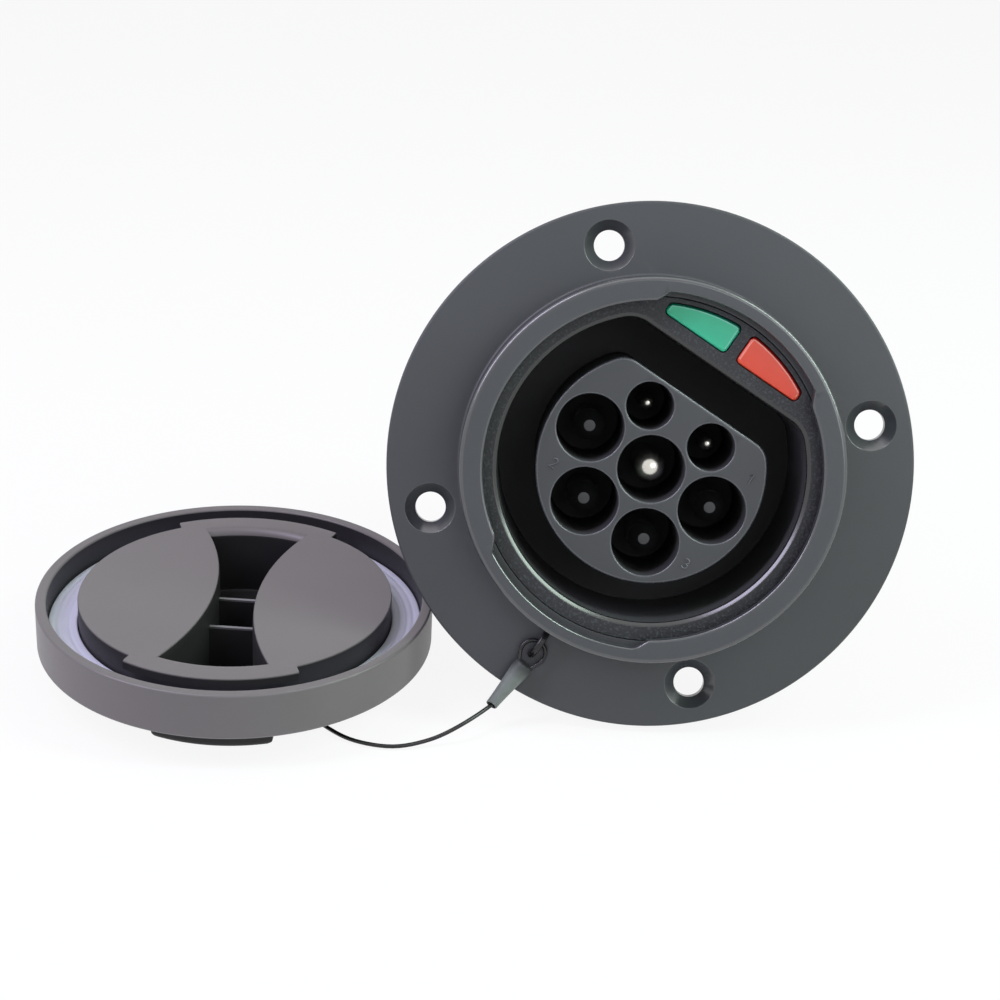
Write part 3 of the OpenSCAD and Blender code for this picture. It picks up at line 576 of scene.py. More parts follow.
def stepBetween(angle, half, inner, outer, spread=0.5):
    # outer within those two sectors, inner elsewhere, with a soft step between them
    away = min(abs((angle - middle + 180) % 360 - 180) for middle in (90, 270))
    t = min(max((half - away + spread) / (2 * spread), 0), 1)
    return inner + (outer - inner) * t * t * (3 - 2 * t)


def lipOutline(grow):
    notchR = flange.grooveR + min(grow, flange.notchDeep)
    return lambda angle: stepBetween(
        angle, flange.notchHalf, flange.lipR + grow, notchR, flange.notchSlope)


collarAngles = ringAngles(240, sectorEnds(flange.notchHalf), flange.notchSlope, 20)
bm = bmesh.new()
screwPath = roundPath([
    (flange.sinkR + lead, flange.t, 0), (flange.sinkR, flange.t, flange.sinkEdge),
    (flange.holeR, flange.t - (flange.sinkR - flange.holeR), flange.holeEdge),
    (flange.holeR, 0, flange.holeEdge), (flange.holeR + lead, 0, 0),
], steps=3)[1:-1]
frontHoles, backHoles = [], []
for u, v in fourCorners:
    loops = lathe(bm, screwPath, ringAngles(64), middle=(u * flange.holeAt, v * flange.holeAt))
    frontHoles.append(loops[0])
    backHoles.append(loops[-1])
rim = lathe(bm, roundPath([
    (flange.sealOut, 0, 0), (flange.r, 0, flange.backEdge), (flange.r, flange.t, flange.edge),
    (flange.collarR, flange.t, 0),
])[1:-1], collarAngles)
collar = lathe(bm, roundPath([
    (flange.r, flange.t, 0), (flange.collarR, flange.t, flange.foot),
    (flange.collarR, flange.collarTop, flange.collarEdge), (flange.lipR, flange.collarTop, 0),
])[1:-1], collarAngles)
fillFlat(bm, rim[-1], [collar[0], *frontHoles])
lipRows = [
    (inward, flange.collarTop - down)
    for inward, down in quarterRound(flange.lipEdge, (0, 22, 45, 67, 90))]
lipRows += [(0, flange.lipUnder + flange.lipFoot), (flange.lipFoot, flange.lipUnder)]
lip = [addLoop(bm, ringPoints(collarAngles, lipOutline(grow), level)) for grow, level in lipRows]
grooveR = flange.grooveR + flange.grooveDeep
inside = lathe(bm, [
    (grooveR, flange.lipUnder), (grooveR, flange.ledge),
    (flange.seatR + flange.seatEdge, flange.ledge), (flange.seatR, flange.ledge - flange.seatEdge),
    (flange.seatR, flange.t), (flange.boreR, flange.t),
    (flange.boreR, flange.barrelEnd + flange.barrelEdge),
    (flange.boreR + flange.barrelEdge, flange.barrelEnd),
    (flange.barrelR - flange.barrelEdge, flange.barrelEnd),
    (flange.barrelR, flange.barrelEnd + flange.barrelEdge), (flange.barrelR, 0), (flange.sealIn, 0),
    (flange.sealIn, flange.sealDeep), (flange.sealOut, flange.sealDeep), (flange.sealOut, 0),
], collarAngles)
bridgeAll(bm, [collar[-1], *lip, inside[0]])
fillFlat(bm, rim[0], [inside[-1], *backHoles])
# Arch of the tether's eye, its feet sunk in the flange
arch = [Vector((eyeU, y, z)) for y, z in arc(eye.archR, 0, 180, eye.steps, (eyeV, flange.t))]
sunk = Vector((0, 0, eye.sink))
tube(bm, [arch[0] - sunk, *arch, arch[-1] - sunk], eye.rodR, eye.sides)


def isRounded(at, n):
    onCollar = flange.collarTop - flange.collarEdge < at.z < flange.collarTop - hair
    atSink = flange.collarR + flange.edgeClear < at.xy.length < flange.r - flange.edge
    return onCollar or atSink and flange.edgeFrom < at.z < flange.t - hair


def isEye(at, n):
    onFace = abs(at.x - eyeU) < eye.half and at.y < eyeV + eye.archR - eye.footClear
    return onFace and at.z > flange.t


# Ledge and groove under the collar's lip, which take the painted shade
def isUnderLip(at, n):
    low = flange.t < at.z < flange.lipUnder + flange.lipFoot
    return low and at.xy.length < (grooveR + flange.collarR) / 2


makePiece(
    "flangeBody", bm, "glassFilledNylon", "flange_body",
    others=[("glassFilledNylonEdge", isRounded), ("eyeNylon", isEye), ("polishedNylon", isUnderLip)])
print("flange drawn")


# Socket insert: D-shaped well, front face with the two lens pockets

socket = Sizes(
    r=28.9, flat=22.2, corner=6, edge=0.9, front=10, floor=-19,
    frontR=32.25, rimEdge=0.08, rearR=33.25, step=4,
    beadWide=0.75, beadDeep=0.55, beadFaceR=0.35, beadWallR=0.5,
)
lens = Sizes(
    r=31.25, low=25.4, inU=1.2, outU=14.8, corner=0.9, leastCorner=0.15, rimSteps=10,
    back=7, edge=0.62, proud=0.1,
    pocket=[(0.28, 0), (0.18, 0.05), (0.12, 0.2)],  # gap round the lens, and depth below the front face
    gap=0.12, seat=0.8, lampDeep=1,
    tilt=0.05,  # a side is an outer one where its normal turns out by more than this
)


def dPoints(shape, grow, level, arcSteps=180, cornerSteps=16, flatSteps=12):
    # Circle with one flat side, rounded where they meet; grow moves the outline out all round
    r, flat, corner = shape.r, shape.flat, shape.corner
    cornerV = flat - corner
    cornerU = math.sqrt((r - corner) ** 2 - cornerV ** 2)
    turn = math.degrees(math.atan2(cornerV, cornerU))
    points = arc(r + grow, 180 - turn, 360 + turn, arcSteps)
    points += arc(corner + grow, turn, 90, cornerSteps, (cornerU, cornerV))[1:]
    points += [(cornerU - 2 * cornerU * k / flatSteps, flat + grow) for k in range(1, flatSteps)]
    points += arc(corner + grow, 90, 180 - turn, cornerSteps, (-cornerU, cornerV))[:-1]
    return [(x, y, level) for x, y in points]


def lensPoints(side, grow, level):
    # Outline of a lens: straight on three sides, following the insert's rim on the fourth
    r = lens.r + grow
    low, inU, outU = lens.low - grow, lens.inU - grow, lens.outU + grow
    radius = max(lens.corner + grow, lens.leastCorner)
    first, last = (math.degrees(math.acos(u / r)) for u in (outU, inU))
    start, *along, end = arc(r, first, last, lens.rimSteps)
    corners = [(inU, low, radius), (outU, low, radius), (*start, radius)]
    corners += [(*p, 0) for p in along] + [(*end, radius)]
    return [(side * p.x, p.y, level) for p in roundPath(corners, closed=True)]


bm = bmesh.new()
rim = lathe(bm, roundPath([
    (socket.r, socket.front, 0), (socket.frontR, socket.front, socket.rimEdge),
    (socket.frontR, socket.step, 0), (socket.rearR, socket.step, 0),
    (socket.rearR, socket.floor, 0),
])[1:], ringAngles(200))
beadFoot = socket.front - socket.beadDeep
beadRows = roundPath([
    (socket.beadWide + lead, socket.front, 0), (socket.beadWide, socket.front, socket.beadFaceR),
    (0, beadFoot, socket.beadWallR), (0, beadFoot - lead, 0),
])[1:-1]
mouth = [addLoop(bm, dPoints(socket, grow, level)) for grow, level in (*beadRows, (0, socket.floor))]
bridgeAll(bm, mouth)
pocketRows = [(gap, socket.front - deep) for gap, deep in lens.pocket]
pocketRows += [
    (lens.gap, lens.back), (-lens.seat, lens.back), (-lens.seat, lens.back - lens.lampDeep)]
pockets = []
for side in (-1, 1):
    rows = [addLoop(bm, lensPoints(side, grow, level)) for grow, level in pocketRows]
    bridgeAll(bm, rows)
    bm.faces.new(rows[-1])
    pockets.append(rows[0])
fillFlat(bm, rim[0], [mouth[0], *pockets])
fillFlat(bm, rim[-1], [mouth[-1]])


# Walls of the socket's well: all but the bead take the painted shade
def isWell(at, n):
    inMouth = at.xy.length < socket.r + socket.edge and at.y < socket.flat + socket.edge
    return inMouth and at.z < socket.front - hair


def isBead(at, n):
    return isWell(at, n) and at.z > socket.front - socket.edge


makePiece(
    "socketInsert", bm, "blackNylon", "socket_insert",
    others=[("polishedNylon", isWell), ("beadNylon", isBead)])

lensFace = socket.front + lens.proud
lensBend = lensFace - lens.proud / 2


# The edge of a lens's face, except where it faces down, takes the painted highlight; its sides that face up
# take the painted shade
def isLensEdge(at, n):
    return lensBend < at.z < lensFace - hair and n.y > -lens.tilt


def isLensSide(at, n):
    return at.z < lensBend and n.y > lens.tilt


lensRows = [(0, lens.back)]
lensRows += [(-inward, lensFace - down) for inward, down in quarterRound(lens.edge, (90, 68, 45, 23, 0))]
for name, side, tint in (("lensGreen", -1, "green"), ("lensRed", 1, "red")):
    bm = bmesh.new()
    rows = [addLoop(bm, lensPoints(side, grow, level)) for grow, level in lensRows]
    bridgeAll(bm, rows)
    bm.faces.new(rows[0])
    fillFlat(bm, rows[-1])
    node, clear = "lens_" + tint, tint + "Polycarbonate"
    makePiece(
        name, bm, clear, node,
        others=[(clear + "Edge", isLensEdge), (clear + "Side", isLensSide)])
print("socket insert and lenses drawn")


# Contact core with its seven wells, and the contacts in them

core = Sizes(
    r=21.75, flat=15.1, corner=4.5, edge=0.45, face=8, floor=-19, back=-24, baseR=33.25, steps=(150, 12, 10),
    powerWell=6.35, signalWell=4.45, wellFloor=-17, wellEdge=0.3, wellFoot=0.4, pinDeep=1, pinGap=0.02,
    pitch=13.85, signalV=9.66,
)
pins = Sizes(
    powerR=3.0, powerTop=-0.2, powerEdge=0.1, earthTop=5.0, signalR=1.5, signalTop=0.0, endSteps=12,
    seat=1.2, seatStep=0.25, back=-24, shoulder=2, shoulderStep=1.4,
    crimpStep=0.4, crimpEnd=-37, crimpEdge=0.2, crimpWall=0.9, crimpBore=8,
    tipEnd=3.0, tipEndR=1.08, tipEdge=0.15, tipIn=0.05, tipFoot=0.6, tipFootEdge=0.2, tipGap=0.02,
    tipFlat=0.75,  # a face of the tip is its end where its normal turns up by more than this
)
half, lowV = core.pitch / 2, -core.pitch * math.sin(math.radians(60))
powerPlaces = {"l1": (core.pitch, 0), "l2": (-half, lowV), "l3": (half, lowV), "n": (-core.pitch, 0)}
signalPlaces = {"cp": (-half, core.signalV), "pp": (half, core.signalV)}
wells = [(place, core.powerWell, pins.powerR) for place in (*powerPlaces.values(), (0, 0))]
wells += [(place, core.signalWell, pins.signalR) for place in signalPlaces.values()]
bm = bmesh.new()
towerRows = [
    (-inward, core.face - down) for inward, down in quarterRound(core.edge, (0, 30, 60, 90))]
towerRows.append((0, core.floor))
tower = [addLoop(bm, dPoints(core, grow, level, *core.steps)) for grow, level in towerRows]
bridgeAll(bm, tower)
wellRims = []
for place, r, pinR in wells:
    pinHole = pinR + core.pinGap
    loops = lathe(bm, roundPath([
        (r + lead, core.face, 0), (r, core.face, core.wellEdge), (r, core.wellFloor, core.wellFoot),
        (pinHole, core.wellFloor, 0), (pinHole, core.wellFloor - core.pinDeep, 0),
    ], steps=4)[1:], ringAngles(72), middle=place)
    bm.faces.new(loops[-1])
    wellRims.append(loops[0])
fillFlat(bm, tower[0], wellRims)
base = lathe(
    bm, [(core.baseR, core.floor), (core.baseR, core.back), (0, core.back)], ringAngles(120))
fillFlat(bm, base[0], [tower[-1]])


# Everything below the core's rounded edge takes the painted shade
def isCoreWall(at, n):
    return at.z < core.face - core.edge


def isCoreEdge(at, n):
    return core.face - core.edge < at.z < core.face - hair


makePiece(
    "contactCore", bm, "corePbt", "contact_core",
    others=[("wellPbt", isCoreWall), ("corePbtEdge", isCoreEdge)])

# Plain numbers in low relief beside the three phase contacts, each a few strokes in a box one high
relief = Sizes(
    high=1.9, strokeR=0.2, sides=8, proud=0.08,
    places={"1": (15.9, 8.0), "2": (-16.3, -10.3), "3": (15.0, -12.0)},
    strokes={
        "1": [(0.1, 0.78), (0.36, 1), (0.36, 0)],
        "2": [(0, 0.8), (0.12, 0.95), (0.3, 1), (0.5, 0.93), (0.58, 0.75), (0.5, 0.55), (0, 0), (0.6, 0)],
        "3": [(0, 0.9), (0.22, 1), (0.45, 0.96), (0.56, 0.78), (0.48, 0.6), (0.25, 0.53), (0.5, 0.45),
              (0.6, 0.26), (0.5, 0.07), (0.26, 0), (0, 0.1)],
    },
)
bm = bmesh.new()
for number, (u, v) in relief.places.items():
    start = Vector((u, v, core.face + relief.proud))
    stroke = [start + Vector((x, y, 0)) * relief.high for x, y in relief.strokes[number]]
    tube(bm, stroke, relief.strokeR, relief.sides)
# The numbers take the same paler PBT, a painted highlight on their relief
makePiece("reliefNumbers", bm, "corePbtEdge")


def stemPath(r, top):
    # From the rim of the pin's end back over the shoulder to the crimp barrel and into its bore
    crimp, bore = r + pins.crimpStep, r + pins.crimpStep - pins.crimpWall
    seated = core.wellFloor - pins.seat
    shoulder = pins.back + pins.shoulder
    boreEnd = pins.crimpEnd + pins.crimpBore
    return [
        (r, top), (r, seated), (r + pins.seatStep, seated), (r + pins.seatStep, shoulder),
        (r + pins.shoulderStep, shoulder), (r + pins.shoulderStep, pins.back),
        (crimp, pins.back), (crimp, pins.crimpEnd + pins.crimpEdge),
        (crimp - pins.crimpEdge, pins.crimpEnd), (bore, pins.crimpEnd),
        (bore, boreEnd), (0, boreEnd)]


def roundEnd(r, top):
    # Rounded end of a bare contact
    rows = quarterRound(r, [90 * k / pins.endSteps for k in range(1, pins.endSteps)])
    return [(0, top)] + [(r - inward, top - down) for inward, down in rows]


def makeContact(name, place, path):
    bm = bmesh.new()
    lathe(bm, path, ringAngles(48), middle=place)
    node = "contact_" + name
    makePiece("contact_" + name.upper(), bm, "silverPlate", node)


# Faces of a tip that turn away from its end take the painted shade
def isTipSide(at, n):
    return n.z < pins.tipFlat


powerTop, tipR = pins.powerTop, pins.powerR - pins.tipIn
powerEnd = [(0, powerTop), (pins.powerR - pins.powerEdge, powerTop)]
tipPath = roundPath([
    (0, pins.tipEnd, 0), (pins.tipEndR, pins.tipEnd, pins.tipEdge),
    (tipR, powerTop + pins.tipFoot, pins.tipFootEdge), (tipR, powerTop + pins.tipGap, 0),
    (0, powerTop + pins.tipGap, 0),
])
for name, place in powerPlaces.items():
    makeContact(name, place, powerEnd + stemPath(pins.powerR, powerTop - pins.powerEdge))
    bm = bmesh.new()
    lathe(bm, tipPath, ringAngles(48), middle=place)
    makePiece(
        "tip_" + name.upper(), bm, "tipNylon", "tip_" + name,
        others=[("tipNylonSide", isTipSide)])
barePins = {"pe": ((0, 0), pins.powerR, pins.earthTop)}
barePins.update({name: (place, pins.signalR, pins.signalTop) for name, place in signalPlaces.items()})
for name, (place, r, end) in barePins.items():
    makeContact(name, place, roundEnd(r, end) + stemPath(r, end - r))
print("core and contacts drawn")


# Rear cover, its screws, the cable gland and the panel seal

rear = Sizes(
    spigotIn=29.6, spigotR=33.25, front=-24, step=-30, r=35.6, edge=0.3, taperStart=-37.3, taperRound=2,
    endR=32, end=-49.3, endRound=1.2, wall=2.5, innerEndR=29.5, innerTaper=12, glandHole=12.65,
    screwAt=17.5, headR=2.9, sink=2.1, sinkEdge=0.2,
)
screws = Sizes(headR=2.75, headH=2.0, headEdge=0.25, seatEdge=0.1, keyR=1.45, keyDeep=1.2)
screwPlaces = [(u * rear.screwAt, v * rear.screwAt) for u, v in fourCorners]
screwSeat = rear.end + rear.sink
bm = bmesh.new()
outer = lathe(bm, roundPath([
    (rear.spigotIn, rear.front, 0), (rear.spigotR, rear.front, rear.edge),
    (rear.spigotR, rear.step, 0), (rear.r, rear.step, rear.edge),
    (rear.r, rear.taperStart, rear.taperRound), (rear.endR, rear.end, rear.endRound),
    (rear.glandHole, rear.end, 0),
])[:-1], ringAngles(200))
inner = lathe(bm, [
    (rear.glandHole, rear.end), (rear.glandHole, rear.end + rear.wall),
    (rear.innerEndR, rear.end + rear.wall), (rear.spigotIn, rear.end + rear.innerTaper),
], ringAngles(200))
bridge(bm, inner[-1], outer[0])
sinkPath = roundPath([
    (rear.headR + lead, rear.end, 0), (rear.headR, rear.end, rear.sinkEdge),
    (rear.headR, screwSeat, 0), (0, screwSeat, 0),
], steps=3)[1:]
sinks = [lathe(bm, sinkPath, ringAngles(48), middle=place)[0] for place in screwPlaces]
fillFlat(bm, outer[-1], [inner[0], *sinks])
makePiece("rearCover", bm, "rearNylon", "rear_cover")

headEnd = screwSeat - screws.headH
headPath = roundPath([
    (0, screwSeat, 0), (screws.headR, screwSeat, screws.seatEdge),
    (screws.headR, headEnd, screws.headEdge), (0, headEnd, 0),
], steps=4)[:-1]
keyPath = [(screws.keyR, headEnd), (screws.keyR, headEnd + screws.keyDeep)]
bm = bmesh.new()
for place in screwPlaces:
    head = lathe(bm, headPath, ringAngles(48), middle=place)
    key = lathe(bm, keyPath, ringAngles(6), middle=place)
    bm.faces.new(key[-1])
    fillFlat(bm, head[-1], [key[0]])
makePiece("coverScrews", bm, "zincSteel", "cover_screws")

gland = Sizes(
    hexR=16.5, hexCorner=1.0, hexFront=-49.3, hexBack=-53.3, frontEdge=0.3, backEdge=0.4, coverGap=0.02,
    threadR=12.5, threadLen=10.5, boreR=9.9, nutGap=0.05,
    nutHexR=17.55, nutBack=-60.3, nutFrontEdge=0.5, nutBackEdge=0.6,
    domeR=14.4, colletEnd=-61.8, domeRound=2.5, end=-67.3, endR=12, endRound=1.0,
    holeR=8.65, holeEdge=0.5, holeRow=5,
    sealR=10.95, sealIn=8.5, sealFront=-54.8, sealEnd=-61.8, sealEdges=(0.2, 0.2, 0.3, 0.5),
)


def hexPoints(r, level):
    corners = [(*onCircle(60 * k, r), gland.hexCorner) for k in range(6)]
    return [(p.x, p.y, level) for p in roundPath(corners, closed=True)]


def addHexagon(bm, r, front, frontEdge, back, backEdge, gap):
    # Six-sided wall with its edges broken; gap holds its front and back off what they bear on
    rows = [addLoop(bm, hexPoints(r + grow, level)) for grow, level in (
        (-frontEdge, front - gap[0]), (0, front - frontEdge),
        (0, back + backEdge), (-backEdge, back + gap[1]))]
    bridgeAll(bm, rows)
    return rows


bm = bmesh.new()
rows = addHexagon(
    bm, gland.hexR, gland.hexFront, gland.frontEdge, gland.hexBack, gland.backEdge,
    (gland.coverGap, gland.nutGap))
threadEnd = gland.hexFront + gland.threadLen
bore = lathe(bm, [
    (gland.threadR, gland.hexFront - gland.coverGap), (gland.threadR, threadEnd),
    (gland.boreR, threadEnd), (gland.boreR, gland.hexBack + gland.nutGap),
], ringAngles(96))
fillFlat(bm, rows[0], [bore[0]])
fillFlat(bm, rows[-1], [bore[-1]])
makePiece("glandBody", bm, "glandNylon", "gland_body")

bm = bmesh.new()
rows = addHexagon(
    bm, gland.nutHexR, gland.hexBack, gland.nutFrontEdge, gland.nutBack, gland.nutBackEdge,
    (gland.nutGap, 0))
dome = lathe(bm, roundPath([
    (gland.domeR, gland.nutBack, 0), (gland.domeR, gland.colletEnd, gland.domeRound),
    (gland.endR, gland.end, gland.endRound), (gland.holeR, gland.end, gland.holeEdge),
    (gland.holeR, gland.end + gland.holeRow, 0), (gland.holeR, gland.hexBack - gland.nutGap, 0),
]), ringAngles(120))
fillFlat(bm, rows[-1], [dome[0]])
fillFlat(bm, rows[0], [dome[-1]])
makePiece("glandNut", bm, "glandNylon", "gland_nut")


def makeSeal(name, inR, outR, front, back, edges, count, node):
    # Ring of rubber, its corners taken in turn from the inner one in front
    bm = bmesh.new()
    places = ((inR, front), (outR, front), (outR, back), (inR, back))
    path = roundPath([(*place, edge) for place, edge in zip(places, edges)], closed=True)
    lathe(bm, path, ringAngles(count), closed=True)
    makePiece(name, bm, "sealRubber", node)


panelSeal = Sizes(gap=0.15, edges=(0.4, 0.4, 0, 0))
makeSeal(
    "glandSeal", gland.sealIn, gland.sealR, gland.sealFront, gland.sealEnd, gland.sealEdges, 96,
    "gland_seal")
makeSeal(
    "panelSeal", flange.sealIn + panelSeal.gap, flange.sealOut - panelSeal.gap, 0,
    flange.sealDeep, panelSeal.edges, 200, "panel_seal")
print("rear drawn")


# Cap, lying inside up: rim, plug with two lugs, hourglass hollow of the grip

cap = Sizes(
    r=38.7, rimIn=36.6, rimEdge=0.45, rimInEdge=0.4, top=16.1, wall=1.8,
    plate=6.6, plateEdge=0.8, plateTop=9.0, grooveEdge=0.3,
    plugR=30.6, plugIn=28.8, plugInEdge=0.4, plugStep=0.03,
    lugR=32.8, lugHalf=30.5, lugT=1.8, lugBreak=0.3,
    gripR=27, endHalf=9.7, waist=4, sideEdge=0.3, endRound=1.8,
    floorRows=[(0, 0.8), (-0.15, 0.3), (-0.6, 0)],  # how far out and how far above the hollow's floor
    gripWall=1.75, gripStep=0.3, gripEndR=31.1, gripEdge=1.2, footHalf=11.5,
)
ribs = Sizes(places=(-5.6, 5.6), thick=1.2, high=9.7, edge=0.25, sink=0.3, inWall=0.6)
# Where the cap's finishes meet: the rounded far end of the hollow stays grey to where it turns in, a painted
# highlight on that rounding
capEdges = Sizes(
    grey=0.35, farGreyPaintedHighlight=1.2, farFrom=22, farNormal=0.5, hollowSide=0.7, hollowEnd=0.8, hollowBelow=0.5,
    ribNormal=0.9, ribNear=0.05, footBelow=0.1, grooveIn=1, grooveOut=0.2,
)
gripEndV = math.sqrt(cap.gripR ** 2 - cap.endHalf ** 2)
flare = cap.endHalf - cap.waist
sideR = (flare ** 2 + gripEndV ** 2) / (2 * flare)
sideX = sideR + cap.waist


def hollowHalf(y):
    # Half width of the hollow along its length
    return sideX - math.sqrt(sideR ** 2 - min(abs(y), sideR) ** 2)


def gripPoints(grow, level, endR, half=math.inf, sideSteps=40, endSteps=24):
    # Hourglass: two round ends joined by two sides that curve in to the waist, cut off at a half width
    curveR = sideR - grow
    cornerX = (endR ** 2 - curveR ** 2 + sideX ** 2) / (2 * sideX)
    cornerY = math.sqrt(endR ** 2 - cornerX ** 2)
    swing = math.degrees(math.asin(cornerY / curveR))
    start = math.degrees(math.atan2(cornerY, cornerX))
    outline = arc(curveR, 180 + swing, 180 - swing, sideSteps, (sideX, 0))[:-1]
    outline += arc(endR, start, 180 - start, endSteps)[:-1]
    outline = [(max(min(x, half), -half), y) for x, y in outline]
    return [(turn * x, turn * y, level) for turn in (1, -1) for x, y in outline]


def plugOutline(grow):
    return lambda angle: stepBetween(angle, cap.lugHalf, cap.plugR, cap.lugR) + grow


capAngles = ringAngles(240, sectorEnds(cap.lugHalf))
bm = bmesh.new()
edge, endRound = cap.sideEdge, cap.endRound
hollow = [
    addLoop(bm, gripPoints(edge * inward, cap.top - endRound * down, cap.gripR + endRound * inward))
    for inward, down in quarterRound(1, range(0, 91, 15))]
hollow += [
    addLoop(bm, gripPoints(grow, cap.wall + above, cap.gripR + grow)) for grow, above in cap.floorRows]
bridgeAll(bm, hollow)
fillFlat(bm, hollow[-1])
lugBreak = edge * cap.lugBreak
plug = [addLoop(bm, ringPoints(capAngles, plugOutline(grow), cap.top - down)) for grow, down in (
    (-edge, 0), (-lugBreak, lugBreak), (0, edge), (0, cap.lugT))]
fillFlat(bm, plug[0], [hollow[0]])
plugR = cap.plugR - cap.plugStep
shell = lathe(bm, roundPath([
    (plugR, cap.top - cap.lugT, 0), (plugR, cap.plateTop, cap.grooveEdge),
    (cap.rimIn, cap.plateTop, cap.grooveEdge), (cap.rimIn, cap.top, cap.rimInEdge),
    (cap.r, cap.top, cap.rimEdge), (cap.r, cap.plate, cap.plateEdge),
    (cap.plugIn, cap.plate, cap.plugInEdge), (cap.plugIn, cap.top - cap.wall, 0),
]), capAngles)
bridgeAll(bm, [*plug, shell[0]])
thick, foot = cap.gripWall, cap.plate + cap.gripStep
gripRows = [
    (thick, cap.top - cap.wall, cap.gripR + thick), (thick, foot, cap.gripR + thick),
    (thick, foot, cap.gripEndR, cap.footHalf)]
gripRows += [
    (thick - inward, above, cap.gripEndR - inward, cap.footHalf - inward)
    for above, inward in quarterRound(cap.gripEdge, range(0, 91, 18))]
grip = [addLoop(bm, gripPoints(*row)) for row in gripRows]
fillFlat(bm, shell[-1], [grip[0]])
bridgeAll(bm, grip)
fillFlat(bm, grip[-1])
# Two ribs across the hollow
ribTop = cap.wall + ribs.high
for v in ribs.places:
    half = hollowHalf(v) + ribs.inWall
    rows = []
    for shrink, level in ((0, cap.wall - ribs.sink), (0, ribTop - ribs.edge), (ribs.edge, ribTop)):
        near, far = v - ribs.thick / 2 + shrink, v + ribs.thick / 2 - shrink
        rows.append(addLoop(
            bm, [(-half, near, level), (half, near, level), (half, far, level), (-half, far, level)]))
    bridgeAll(bm, rows)
    bm.faces.new(rows[0])
    bm.faces.new(rows[-1])


def isHollow(at, n):
    atFarEnd = at.y > capEdges.farFrom and abs(n.x) < capEdges.farNormal
    high = cap.top - capEdges["farGreyPaintedHighlight" if atFarEnd else "grey"]
    within = abs(at.x) < hollowHalf(at.y) + capEdges.hollowSide
    within = within and abs(at.y) < cap.gripR + capEdges.hollowEnd
    return within and cap.wall - capEdges.hollowBelow < at.z < high


# Upward faces on top of the ribs take the painted highlight
def isRibTop(at, n):
    return n.z > capEdges.ribNormal and abs(at.z - ribTop) < capEdges.ribNear


def isFoot(at, n):
    return at.z < cap.plate - capEdges.footBelow and not isHollow(at, n)


# Walls of the groove between rim and plug, which take the painted shade
def isGroove(at, n):
    between = cap.plugR - capEdges.grooveIn < at.xy.length < cap.rimIn + capEdges.grooveOut
    return between and at.z < cap.top - capEdges.grey


makePiece(
    "capShell", bm, "capNylon", "cap_shell",
    others=[
        ("gripNylon", isFoot), ("grooveNylon", isGroove), ("hollowNylon", isHollow), ("ribNylon", isRibTop)],
    body="tethered_cap", where=toCap)

seal = Sizes(high=2.1, gap=0.15, edge=0.4, grooves=(32.4, 33.8, 35.0), wide=0.5, deep=0.12, grooveEdge=0.1)
sealTop = cap.plateTop + seal.high
sealIn, sealOut = cap.plugR + seal.gap, cap.rimIn - seal.gap
sealPath = [(sealIn, cap.plateTop, 0), (sealIn, sealTop, seal.edge)]
for r in seal.grooves:
    for out, down in ((-seal.wide, 0), (0, seal.deep), (seal.wide, 0)):
        sealPath.append((r + out, sealTop - down, seal.grooveEdge))
sealPath += [(sealOut, sealTop, seal.edge), (sealOut, cap.plateTop, 0)]
bm = bmesh.new()
lathe(bm, roundPath(sealPath, closed=True), ringAngles(200), closed=True)
makePiece(
    "capSeal", bm, "paleSilicone", "cap_seal", body="tethered_cap", where=toCap)
print("cap drawn")


# Solids that stay as they are get their finish

cadFinish = {
    "lamp_board": "solderMask", "lamp_leds": "lampEpoxy", "contact_retainer": "rearNylon",
    "retainer_screws": "zincSteel", "cover_seal": "sealRubber", "gland_locknut": "glandNylon",
    "tether_ferrule": "crimpAluminium",
}
for node, name in cadFinish.items():
    mesh = frame["nodes"][node].data
    mesh.materials.clear()
    mesh.materials.append(finish[name])
print("inner solids finished")


# Stage: pale floor, white surround, soft studio light

stageSet = Sizes(floor="#fafafa", floorHalf=3.0, floorDrop=0.0002, glow=0.9, world=0.16)  # metres


def seenDirectly(tree):
    # 1 for rays from the camera and those that gloss or glass send on, so that all of them meet the white
    path = addNode(tree, "LightPath")
    seen = path.outputs["Is Camera Ray"]
    for kind in ("Is Glossy Ray", "Is Transmission Ray"):
        either = addNode(tree, "Math", {"operation": "MAXIMUM"}, {0: seen, 1: path.outputs[kind]})
        seen = either.outputs[0]
    return seen


def showWhite(tree, lit, white, share, output):
    # White for that share of the rays, and lit for the others
    mix = addNode(tree, "MixShader", None, {"Fac": share, 1: lit.outputs[0], 2: white.outputs[0]})
    addNode(tree, output, None, {"Surface": mix.outputs[0]})


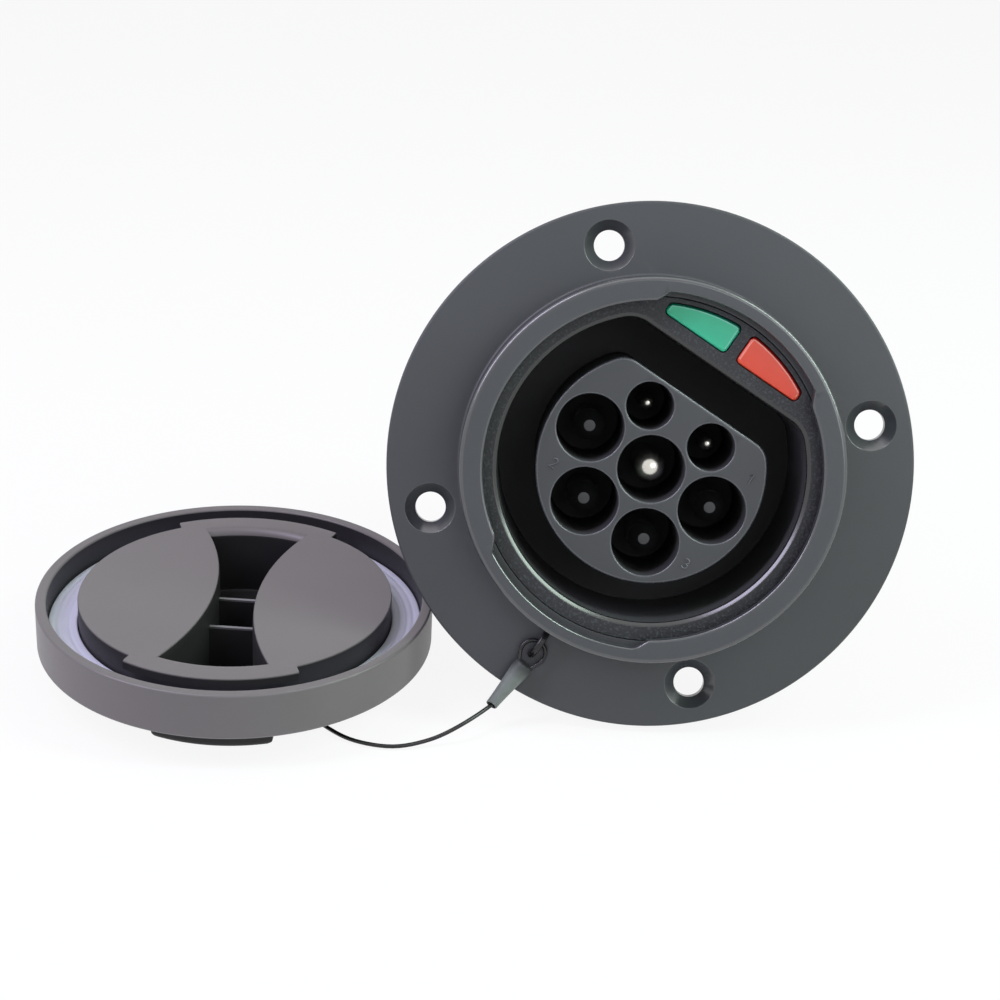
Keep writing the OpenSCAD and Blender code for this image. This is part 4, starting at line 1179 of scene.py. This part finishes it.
floorMesh = bpy.data.meshes.new("floor")
floorCorners = [Vector((u, v, 0)) * stageSet.floorHalf for u, v in ((-1, -1), (1, -1), (1, 1), (-1, 1))]
floorMesh.from_pydata(floorCorners, [], [(0, 1, 2, 3)])
floor = bpy.data.objects.new("floor", floorMesh)
floor.location.z = -stageSet.floorDrop
scene.collection.objects.link(floor)
floorMaterial = bpy.data.materials.new("paleFloor")
floorMaterial.use_nodes = True
tree = floorMaterial.node_tree
tree.nodes.clear()
matte = addNode(tree, "BsdfDiffuse", {"Color": hexToLinear(stageSet.floor)})
white = addNode(tree, "Emission", {"Color": (1, 1, 1, 1), "Strength": 1.0})
share = addNode(tree, "Math", {"operation": "MULTIPLY"}, {0: seenDirectly(tree)})
share.inputs[1].default_value = stageSet.glow  # the rest is lit, and keeps the shadow
showWhite(tree, matte, white, share.outputs[0], "OutputMaterial")
floorMesh.materials.append(floorMaterial)

world = bpy.data.worlds.new("studio")
scene.world = world
world.use_nodes = True
tree = world.node_tree
tree.nodes.clear()
soft = addNode(tree, "Background", {"Color": (1, 1, 1, 1), "Strength": stageSet.world})
white = addNode(tree, "Background", {"Color": (1, 1, 1, 1), "Strength": 1.0})
showWhite(tree, soft, white, seenDirectly(tree), "OutputWorld")

lamps = {
    # place and aim in mm, size in mm, power in watts
    "overheadBox": dict(place=(0, 60, 620), aim=(0, 0, 20), size=(600, 400), power=0.6, colour="#ffffff"),
    "frontBox": dict(place=(300, -560, 380), aim=(0, 0, 40), size=(400, 300), power=0.8, colour="#f4f8ff"),
    "leftStrip": dict(
        place=(-345, -160, 465), aim=(20, -20, 50), size=(110, 460), power=2.3, colour="#e6dfff"),
    "rightStrip": dict(
        place=(440, -110, 430), aim=(20, -20, 50), size=(110, 460), power=2.3, colour="#e6fff0"),
}
for name, lamp in lamps.items():
    light = bpy.data.lights.new(name, "AREA")
    light.shape = "RECTANGLE"
    light.size, light.size_y = (x * mm for x in lamp["size"])
    light.energy = lamp["power"]
    light.color = hexToLinear(lamp["colour"])[:3]
    holder = bpy.data.objects.new(name, light)
    place = Vector(lamp["place"]) * mm
    holder.location = place
    holder.rotation_euler = (Vector(lamp["aim"]) * mm - place).to_track_quat("-Z", "Y").to_euler()
    scene.collection.objects.link(holder)
scene.view_settings.view_transform = "Standard"
print("stage lit")
